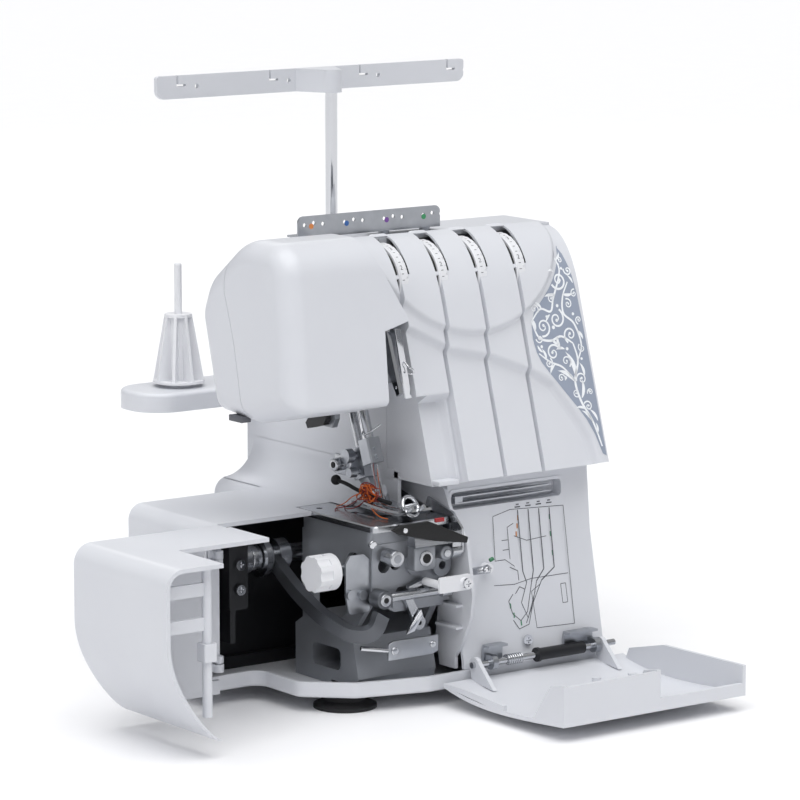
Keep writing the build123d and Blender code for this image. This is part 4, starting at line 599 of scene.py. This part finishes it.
def plate(name, outline, low, high, material, body="machine", bevel=0.3):
    """A flat plate that faces the front: an outline in x and z, between two depths in y."""
    shape = bmesh.new()
    face = shape.faces.new([shape.verts.new((x * mm, high * mm, z * mm)) for x, z in outline])
    pushed = bmesh.ops.extrude_face_region(shape, geom=[face])["geom"]
    bmesh.ops.translate(
        shape, vec=(0, (low - high) * mm, 0), verts=[v for v in pushed if isinstance(v, bmesh.types.BMVert)]
    )
    bmesh.ops.recalc_face_normals(shape, faces=shape.faces[:])
    mesh = bpy.data.meshes.new(name)
    shape.to_mesh(mesh)
    shape.free()
    piece = bpy.data.objects.new(name, mesh)
    bpy.context.scene.collection.objects.link(piece)
    only(piece)
    return finish_piece(name, material, body, 35, bevel)


dial_y, dial_z, dial_radius = -3.0, 262.0, 25.0
dial_half = 3.5
# Near-black moulding: the real colour of the looper lever, release ball and release lever, and painted shade on the
# slot discs, the pin hole, the bore and the screw slot.
black_and_painted_shade = surface("black_abs_and_painted_shade", "#08080A", "#0D0D10", 0.6, 0.8, 0.1)
# Painted shade: a near-black disc on each side of each dial fills the slot where the panel's inside lies in shade.
for i, x in enumerate(dials):
    for side, label in ((-1, "left"), (1, "right")):
        rod(
            f"slot_shade_disc_{i + 1}_{label}",
            (x + side * (dial_half + 0.25), dial_y, dial_z), (x + side * (slot_half + 1.6), dial_y, dial_z),
            dial_radius - 2.2, black_and_painted_shade, bevel=0, sides=96,
        )

# ---- dial scales ---------------------------------------------------------------------------
# Grey numbers and ticks printed round the rim of each white tension dial.
print_grey = surface("grey_print", "#5A5C62", "#55575D", 0.5, 0.5, 0.02)
for i, x in enumerate(dials):
    marks_of_dial = []
    for k in range(40):
        turn = math.radians(28 + 9 * (k - 8))
        out = Vector((0, -math.cos(turn), math.sin(turn)))
        at = Vector((x - 1.0, dial_y, dial_z)) + out * (dial_radius + 0.07)
        bpy.ops.object.select_all(action="DESELECT")
        if k % 4 == 0:
            bpy.ops.object.text_add(location=at * mm, rotation=(math.pi / 2 - turn, 0, 0))
            letter = bpy.context.object
            letter.data.body = str(k // 4)
            letter.data.size = 4.2 * mm
            letter.data.align_x, letter.data.align_y = "CENTER", "CENTER"
            bpy.ops.object.convert(target="MESH")
        else:
            bpy.ops.mesh.primitive_plane_add(
                size=1, location=at * mm, rotation=(math.pi / 2 - turn, 0, 0), scale=(1, 1, 1)
            )
            bpy.context.object.scale = (1.7 * mm, 0.4 * mm, 1)
        marks_of_dial.append(bpy.context.object)
    bpy.ops.object.select_all(action="DESELECT")
    for mark in marks_of_dial:
        mark.select_set(True)
    bpy.context.view_layer.objects.active = marks_of_dial[0]
    bpy.ops.object.join()
    finish_piece(f"dial_scale_{i + 1}", print_grey, f"tension_dial_{i + 1}")
    flat_patch(
        f"dial_index_{i + 1}",
        [(x - 13.5, 266.2), (x - 7.5, 266.2), (x - 7.5, 267.1), (x - 13.5, 267.1)], 0.1, print_grey,
    )

# ---- take-up slot --------------------------------------------------------------------------
# A bright upright guard closes the gap between head and panel, with a small wire hook on it.
plate("take_up_guard", [(-10.5, 238), (-6, 238), (2.6, 193.5), (-2.2, 193.5)], -37.5, -36, chrome)
wire("take_up_hook", [(-3.5, -38, 217), (-2.5, -41, 214), (0.4, -42, 211.5), (0.2, -41, 209.5), (-2, -40, 209.8)], 0.55, chrome)

# ---- inner webs ----------------------------------------------------------------------------
# White ribs of the casing close the gap under the panel and carry the head's release catch.
block("panel_underside", (12.3, -53, 138.6), (28, -4, 141.6), white_abs, bevel=0.5)
block("pillar_ledge", (11.9, -6, 136), (16, 2, 143), white_abs, bevel=0.5)
block("head_catch", (-99.5, 1, 182.6), (-92, 15, 186.5), print_grey, bevel=0.6)

# ---- looper drive arm ----------------------------------------------------------------------
# A dark casting that reaches from the main shaft, down round the knife drive, and up to a ring
# whose pin carries the looper rail.
dark_cast = surface("dark_die_casting", "#6B6E73", "#585A5F", 0.33, 1.1, 0.4, metal=0.7)
bpy.ops.object.select_all(action="DESELECT")
bpy.ops.curve.primitive_bezier_circle_add(radius=1)
bar_section = bpy.context.object
for knot, (u, v) in zip(bar_section.data.splines[0].bezier_points, ((-3.2, -4.6), (-3.2, 4.6), (3.2, 4.6), (3.2, -4.6))):
    knot.handle_left_type = knot.handle_right_type = "VECTOR"
    knot.co = Vector((u, v, 0)) * mm
wire(
    "looper_drive_arm",
    [(-50, 38, 86), (-55, 14, 76), (-57, -10, 66), (-56, -32, 58), (-48, -50, 52), (-40.5, -55, 54), (-34.5, -56, 64)],
    0, dark_cast, section=bar_section,
)
bpy.data.objects.remove(bar_section)
rod("looper_arm_ring", (-32.7, -47.5, 73), (-32.7, -58, 73), 5.9, dark_cast, bevel=0.8)
rod("looper_arm_pin", (-32.7, -57.5, 73), (-32.7, -58.9, 73), 4.0, ground, bevel=0.6)
# A thin near-black disc on the pin: painted shade standing for its hole.
rod("looper_arm_pin_hole_shade", (-32.7, -58.8, 73), (-32.7, -59.1, 73), 1.8, black_and_painted_shade, bevel=0)
rod("looper_rail", (-28, -54.5, 73.4), (21.5, -54.5, 73.4), 3.0, ground, bevel=0.6)
rod("looper_rail_collar", (12, -54.5, 73.4), (20, -54.5, 73.4), 4.2, ground, bevel=0.6)

# ---- looper bay fittings -------------------------------------------------------------------
# Turned bosses and a square bearing block on the casting's face, a black lever with a red cap,
# a galvanised bracket below, and the small bright cam beside it.
rod("looper_boss", (-25.5, -49, 98.6), (-25.5, -61, 98.6), 5.2, ground, bevel=0.7)
rod("looper_boss_centre", (-25.5, -61, 98.6), (-25.5, -61.4, 98.6), 2.6, cast, bevel=0.1)
block("bearing_block", (-10, -58, 88), (6.5, -49, 103.5), cast, bevel=1.6)
rod("bearing_block_ring", (-1.8, -57.5, 95.9), (-1.8, -59.2, 95.9), 5.0, ground, bevel=0.5)
# A thin near-black disc on the ring: painted shade standing for its bore.
rod("bearing_block_bore_shade", (-1.8, -59, 95.9), (-1.8, -59.5, 95.9), 3.0, black_and_painted_shade, bevel=0)
rod("rail_end_boss", (14, -51, 97.5), (14, -59, 97.5), 4.6, cast, bevel=0.7)
rod("rail_end_pin", (14, -59, 97.5), (14, -60, 97.5), 2.6, ground, bevel=0.3)
plate(
    "looper_lever",
    [(-33, 118), (-26, 120.5), (-5, 120.8), (25.5, 107.4), (24.6, 103.8), (-1, 108), (-28, 115)],
    -66, -63, black_and_painted_shade, bevel=0.6,
)
rod("looper_lever_pin", (-24, -62.8, 117.3), (-24, -67.2, 117.3), 1.7, chrome)
red_cap = surface("red_moulded_cap", "#A3262B", "#8F1F25", 0.4, 0.6, 0.05)
block("lever_cap", (1, -64.5, 119), (8, -62.6, 121.6), red_cap, bevel=0.5)
plate("lower_bracket", [(-28, 33.5), (-28, 44), (-24, 45.5), (10.5, 45.5), (10.5, 35), (6, 33.5)], -55, -53, zinc, bevel=0.5)
rod("lower_bracket_screw_left", (-24, -54.6, 39.5), (-24, -56.6, 39.5), 2.6, chrome, bevel=0.5)
rod("lower_bracket_screw_right", (5.5, -54.6, 40), (5.5, -56.6, 40), 2.2, chrome, bevel=0.5)
rod("lower_bracket_pin", (-46, -50, 43), (-28, -54, 40), 1.5, chrome)
plate("feed_cam", [(-14.2, 48.3), (-10, 54.6), (-2.7, 63.1), (-1.2, 58.7), (-7.9, 49.6)], -55, -53, chrome, bevel=0.5)
rod("upper_left_screw", (-37.5, -49.8, 107.5), (-37.5, -52.2, 107.5), 2.7, chrome, bevel=0.6)
rod("thread_guide_post", (33, -58, 83), (38, -66, 85), 2.4, ground, bevel=0.6)
rod("thread_guide_nut", (38, -66, 85), (40, -68.5, 86), 3.0, chrome, bevel=0.5, sides=6)
green_bead = surface("green_moulded_bead", "#3E7C58", "#376F4F", 0.4, 0.5, 0.05)
rod("thread_guide_bead", (43.6, -64, 90), (46.4, -64, 91), 1.3, green_bead, bevel=0.5)

# ---- main shaft fittings -------------------------------------------------------------------
# Four collars on the main shaft inside the free arm.
for n, (x, radius, wide) in enumerate(((-58, 11, 5), (-66, 8.5, 7), (-84, 12, 4), (-91, 8.5, 5)), 1):
    rod(f"shaft_collar_{n}", (x - wide / 2, 40, 88), (x + wide / 2, 40, 88), radius, cast if n % 2 else ground, body="main_shaft", bevel=0.7, sides=48)

# ---- presser foot fittings -----------------------------------------------------------------
# The holder's thumb screw and black release ball, a bent black release lever, and the foot's
# two bright toes, which curl up at the front.
rod("holder_screw", (-19.5, 16, 146), (-12.5, 16, 146), 4.2, ground, "presser_bar", bevel=0.7)
# A thin near-black disc on the screw's end: painted shade standing for its slot.
rod("holder_screw_slot_shade", (-19.9, 16, 146), (-19.3, 16, 146), 2.0, black_and_painted_shade, "presser_bar", bevel=0)
block("holder_side_plate", (-12.8, 7, 139), (-11.2, 24, 152), ground, "presser_bar", bevel=0.5)
bpy.ops.object.select_all(action="DESELECT")
bpy.ops.mesh.primitive_uv_sphere_add(segments=32, ring_count=16, radius=3.3 * mm, location=(-0.012, 0.0235, 0.1345))
finish_piece("release_ball", black_and_painted_shade, "presser_bar")
wire(
    "release_lever",
    [(-12, 22, 134.5), (-12, 12, 133.6), (-11.6, 0, 131.2), (-11.5, -12, 130.4), (-10.5, -22, 128.4), (-8, -30, 127)],
    1.25, black_and_painted_shade, "presser_foot",
)
for label, x in (("left", -13.5), ("right", -4.5)):
    wire(
        f"foot_toe_{label}",
        [(x, -10, 124.6), (x, -24, 123.6), (x, -38, 123.4), (x + 1.5, -50, 124.6), (x + 3, -56, 128.4)],
        1.5, chrome, "presser_foot",
    )
bpy.ops.object.select_all(action="DESELECT")
bpy.ops.mesh.primitive_torus_add(
    major_radius=6.4 * mm, minor_radius=1.3 * mm, major_segments=48, minor_segments=12,
    location=(-0.006, -0.0475, 0.1275), rotation=(math.radians(62), 0, math.radians(12)),
)
finish_piece("foot_guard_ring", chrome, "presser_foot")
rod("foot_guard_pin", (-12, -44, 126.5), (1, -46, 128), 1.4, ground, "presser_foot")
wire("needle_clamp_wire", [(-9, -3, 171), (-14, -8, 168), (-14, -16, 171), (-9, -21, 176)], 0.5, chrome, "needle_bar")

# ---- thread knot ---------------------------------------------------------------------------
# Orange and red polyester thread, caught round the foot after sewing, and the run up to the
# needles.
orange = surface("orange_polyester_thread", "#D9702A", "#C8591F", 0.7, 0.6, 0.3)
crimson = surface("red_polyester_thread", "#8E2F2B", "#7A2623", 0.7, 0.6, 0.3)
knot_middle = Vector((-12, -12, 130))
for n in range(7):
    loops = []
    for k in range(9):
        turn = 1.9 * k + n
        loops.append(tuple(knot_middle + Vector((
            3.2 * math.sin(1.3 * turn + n), 6.0 * math.cos(turn) - 1.2 * n + 4, 4.5 * math.sin(0.8 * turn + 0.7 * n) + 1.5,
        ))))
    wire(f"thread_knot_{n + 1}", loops, 0.34, orange if n % 3 else crimson, "presser_foot")
for n, run in enumerate((
    [(-13, -6, 131), (-15, 2, 127), (-15, 10, 122), (-16, 16, 119.2), (-14, 20, 118.7)],
    [(-13, -8, 130), (-15, 0, 124), (-17, 8, 120), (-20, 12, 118.7), (-23, 9, 118.6)],
    [(-13, -10, 129), (-14, -16, 124), (-15, -22, 121), (-16, -30, 119.2), (-15, -36, 118.8)],
    [(-13, -12, 128), (-15, -2, 121), (-16, 6, 119), (-12, 14, 118.7), (-9, 18, 118.6)],
), 1):
    wire(f"thread_tail_{n}", run, 0.34, orange if n % 2 else crimson, "presser_foot")
for n, x in enumerate((-9.4, -6.6), 1):
    wire(f"needle_thread_{n}", [(x, -18, 129), (x - 0.6, -15.5, 140), (x, -12.5, 152), (x, -7, 168)], 0.22, crimson if n % 2 else orange, "needle_bar")

# ---- threading chart -----------------------------------------------------------------------
# Fine grey lines printed on the front panel show the thread paths, with a coloured dot at each
# guide.
chart_side = [(20, -56.5), (24, -56.5), (96, -42), (140, -38)]


def chart_y(z):
    """The y of the front panel's face at a height, in mm."""
    for (low, y_low), (high, y_high) in zip(chart_side, chart_side[1:]):
        if z <= high:
            return y_low + (y_high - y_low) * (z - low) / (high - low)
    return chart_side[-1][1]


def chart(name, lines, colour, wide=0.45):
    """Printed lines on the front panel: each a run of points in x and z."""
    shape = bmesh.new()
    for line in lines:
        for (ax, az), (bx, bz) in zip(line, line[1:]):
            size = math.hypot(bx - ax, bz - az)
            nx, nz = -(bz - az) / size * wide / 2, (bx - ax) / size * wide / 2
            corners = ((ax + nx, az + nz), (bx + nx, bz + nz), (bx - nx, bz - nz), (ax - nx, az - nz))
            shape.faces.new([shape.verts.new((x * mm, (chart_y(z) - 0.12) * mm, z * mm)) for x, z in corners])
    return printed(name, shape, colour)


chart("chart_frame", [
    [(64, 112), (78, 115), (121, 113), (120.5, 38), (90, 39)], [(64, 112), (63, 84), (71, 84), (78, 79)],
    [(60, 69), (76, 68), (90, 70), (120, 70)], [(90, 39), (89, 62), (97, 66)],
    [(75, 84), (75, 104), (80, 106)], [(113, 52), (113, 64), (117, 64), (117, 52), (113, 52)],
    [(70, 90), (75, 90)], [(70, 96), (75, 96)], [(80, 98), (90, 94), (106, 95)],
], print_grey, 0.4)
chart("chart_threads", [
    [(84 + 8.5 * i, 114 - 0.4 * i), (84 + 8.5 * i, 75), (86 + 4 * i, 68)] for i in range(4)
], print_grey, 0.7)
chart("chart_lower", [
    [(86, 68), (80, 56), (84, 46), (92, 62)], [(90, 68), (84, 50), (78, 45), (72, 50), (70, 58), (74, 62)],
    [(94, 68), (88, 52), (84, 42), (76, 40), (72, 46)], [(98, 68), (90, 56), (82, 43)],
    [(76, 62), (80, 66), (84, 64)], [(74, 79), (80, 76), (80, 70)],
], print_grey, 0.5)
chart_orange = surface("orange_print", "#C98A5A", "#C07F4F", 0.5, 0.5, 0.02)
chart_green = surface("green_print", "#5E9478", "#56896F", 0.5, 0.5, 0.02)
for name, colour, places in (
    ("chart_orange_marks", chart_orange, ((84, 109), (83, 104), (82, 99))),
    ("chart_green_marks", chart_green, ((109.5, 107), (109.5, 96), (71, 55), (73, 49), (78, 43.5), (109.5, 84))),
):
    chart(name, [[(x, z + 1.6), (x, z - 1.6)] for x, z in places], colour, 1.1)
for i in range(4):
    x = 84 + 8.5 * i
    chart(f"chart_guide_{i + 1}", [[(x - 2.2, 116), (x + 2.2, 116)], [(x - 1.2, 117.6), (x + 1.2, 117.6)]], print_grey, 0.8)

# ---- guide plate marks ---------------------------------------------------------------------
# A coloured spot beside each thread hole of the galvanised plate tells the four threads apart.
for n, (x, colour) in enumerate(((-40, "#E08A4A"), (-13, "#3F6FB5"), (18, "#7B4F9E"), (47, "#3F9463")), 1):
    spot = surface(f"thread_spot_ink_{n}", colour, colour, 0.5, 0.5, 0.02)
    rod(f"thread_spot_{n}", (x, 10.1, 299.5), (x, 9.85, 299.5), 1.7, spot, bevel=0)

# ---- hinge spring --------------------------------------------------------------------------
# A close coil of bright spring wire round the looper cover's rod.
coil = []
for k in range(57):
    turn = math.pi / 4 * k
    coil.append((57 + 0.22 * k, -64 + 3.1 * math.cos(turn), 24.5 + 3.1 * math.sin(turn)))
wire("cover_hinge_spring", coil, 0.45, chrome)

# ---- table and light -----------------------------------------------------------------------
bpy.ops.object.select_all(action="DESELECT")
bpy.ops.mesh.primitive_plane_add(size=12, location=(0, 0, 0))
table = bpy.context.object
table.name = "table_top"
table.data.materials.append(surface("pale_table", "#FAFAFB", "#F7F7F9", 0.6, 2.0, 0.0))
world = bpy.data.worlds.new("studio")
bpy.context.scene.world = world
world.use_nodes = True
sky = world.node_tree
soft = sky.nodes["Background"]
soft.inputs["Strength"].default_value = 0.4
toward = put(sky, "ShaderNodeTexCoord")
parts = put(sky, "ShaderNodeSeparateXYZ", [("Vector", toward.outputs["Generated"])])
height = put(sky, "ShaderNodeMapRange", [("Value", parts.outputs["Z"])], From_Min=-0.1, From_Max=0.7)
dimmed = put(sky, "ShaderNodeMix", [("Factor", height.outputs["Result"])], data_type="RGBA")
dimmed.inputs["A"].default_value = linear("#C2C6CD")
dimmed.inputs["B"].default_value = linear("#FFFFFF")
sky.links.new(dimmed.outputs["Result"], soft.inputs["Color"])
backdrop = put(sky, "ShaderNodeBackground", Strength=1.0)
backdrop.inputs["Color"].default_value = linear("#FFFFFF")
path = put(sky, "ShaderNodeLightPath")
both = put(sky, "ShaderNodeMixShader", [("Fac", path.outputs["Is Camera Ray"])])
sky.links.new(soft.outputs["Background"], both.inputs[1])
sky.links.new(backdrop.outputs["Background"], both.inputs[2])
sky.links.new(both.outputs["Shader"], sky.nodes["World Output"].inputs["Surface"])
bpy.ops.object.light_add(type="SUN", location=(0, 0, 3))
sun = bpy.context.object
sun.name = "overhead_light"
sun.data.energy = 2.6
sun.data.angle = 1.2
sun.rotation_euler = Vector((0.22, 0.3, -1)).to_track_quat("-Z", "Y").to_euler()
for name, place, size, watts in (
    ("left_light", (-2.6, -0.9, 1.5), 0.8, 4),
    ("back_light", (1.2, 2.4, 1.8), 1.2, 6),
):
    bpy.ops.object.light_add(type="AREA", location=place)
    lamp = bpy.context.object
    lamp.name = name
    lamp.data.size = size
    lamp.data.energy = watts
    lamp.rotation_euler = (Vector((0, 0, 0.15)) - Vector(place)).to_track_quat("-Z", "Y").to_euler()
bpy.context.scene.view_settings.view_transform = "Standard"
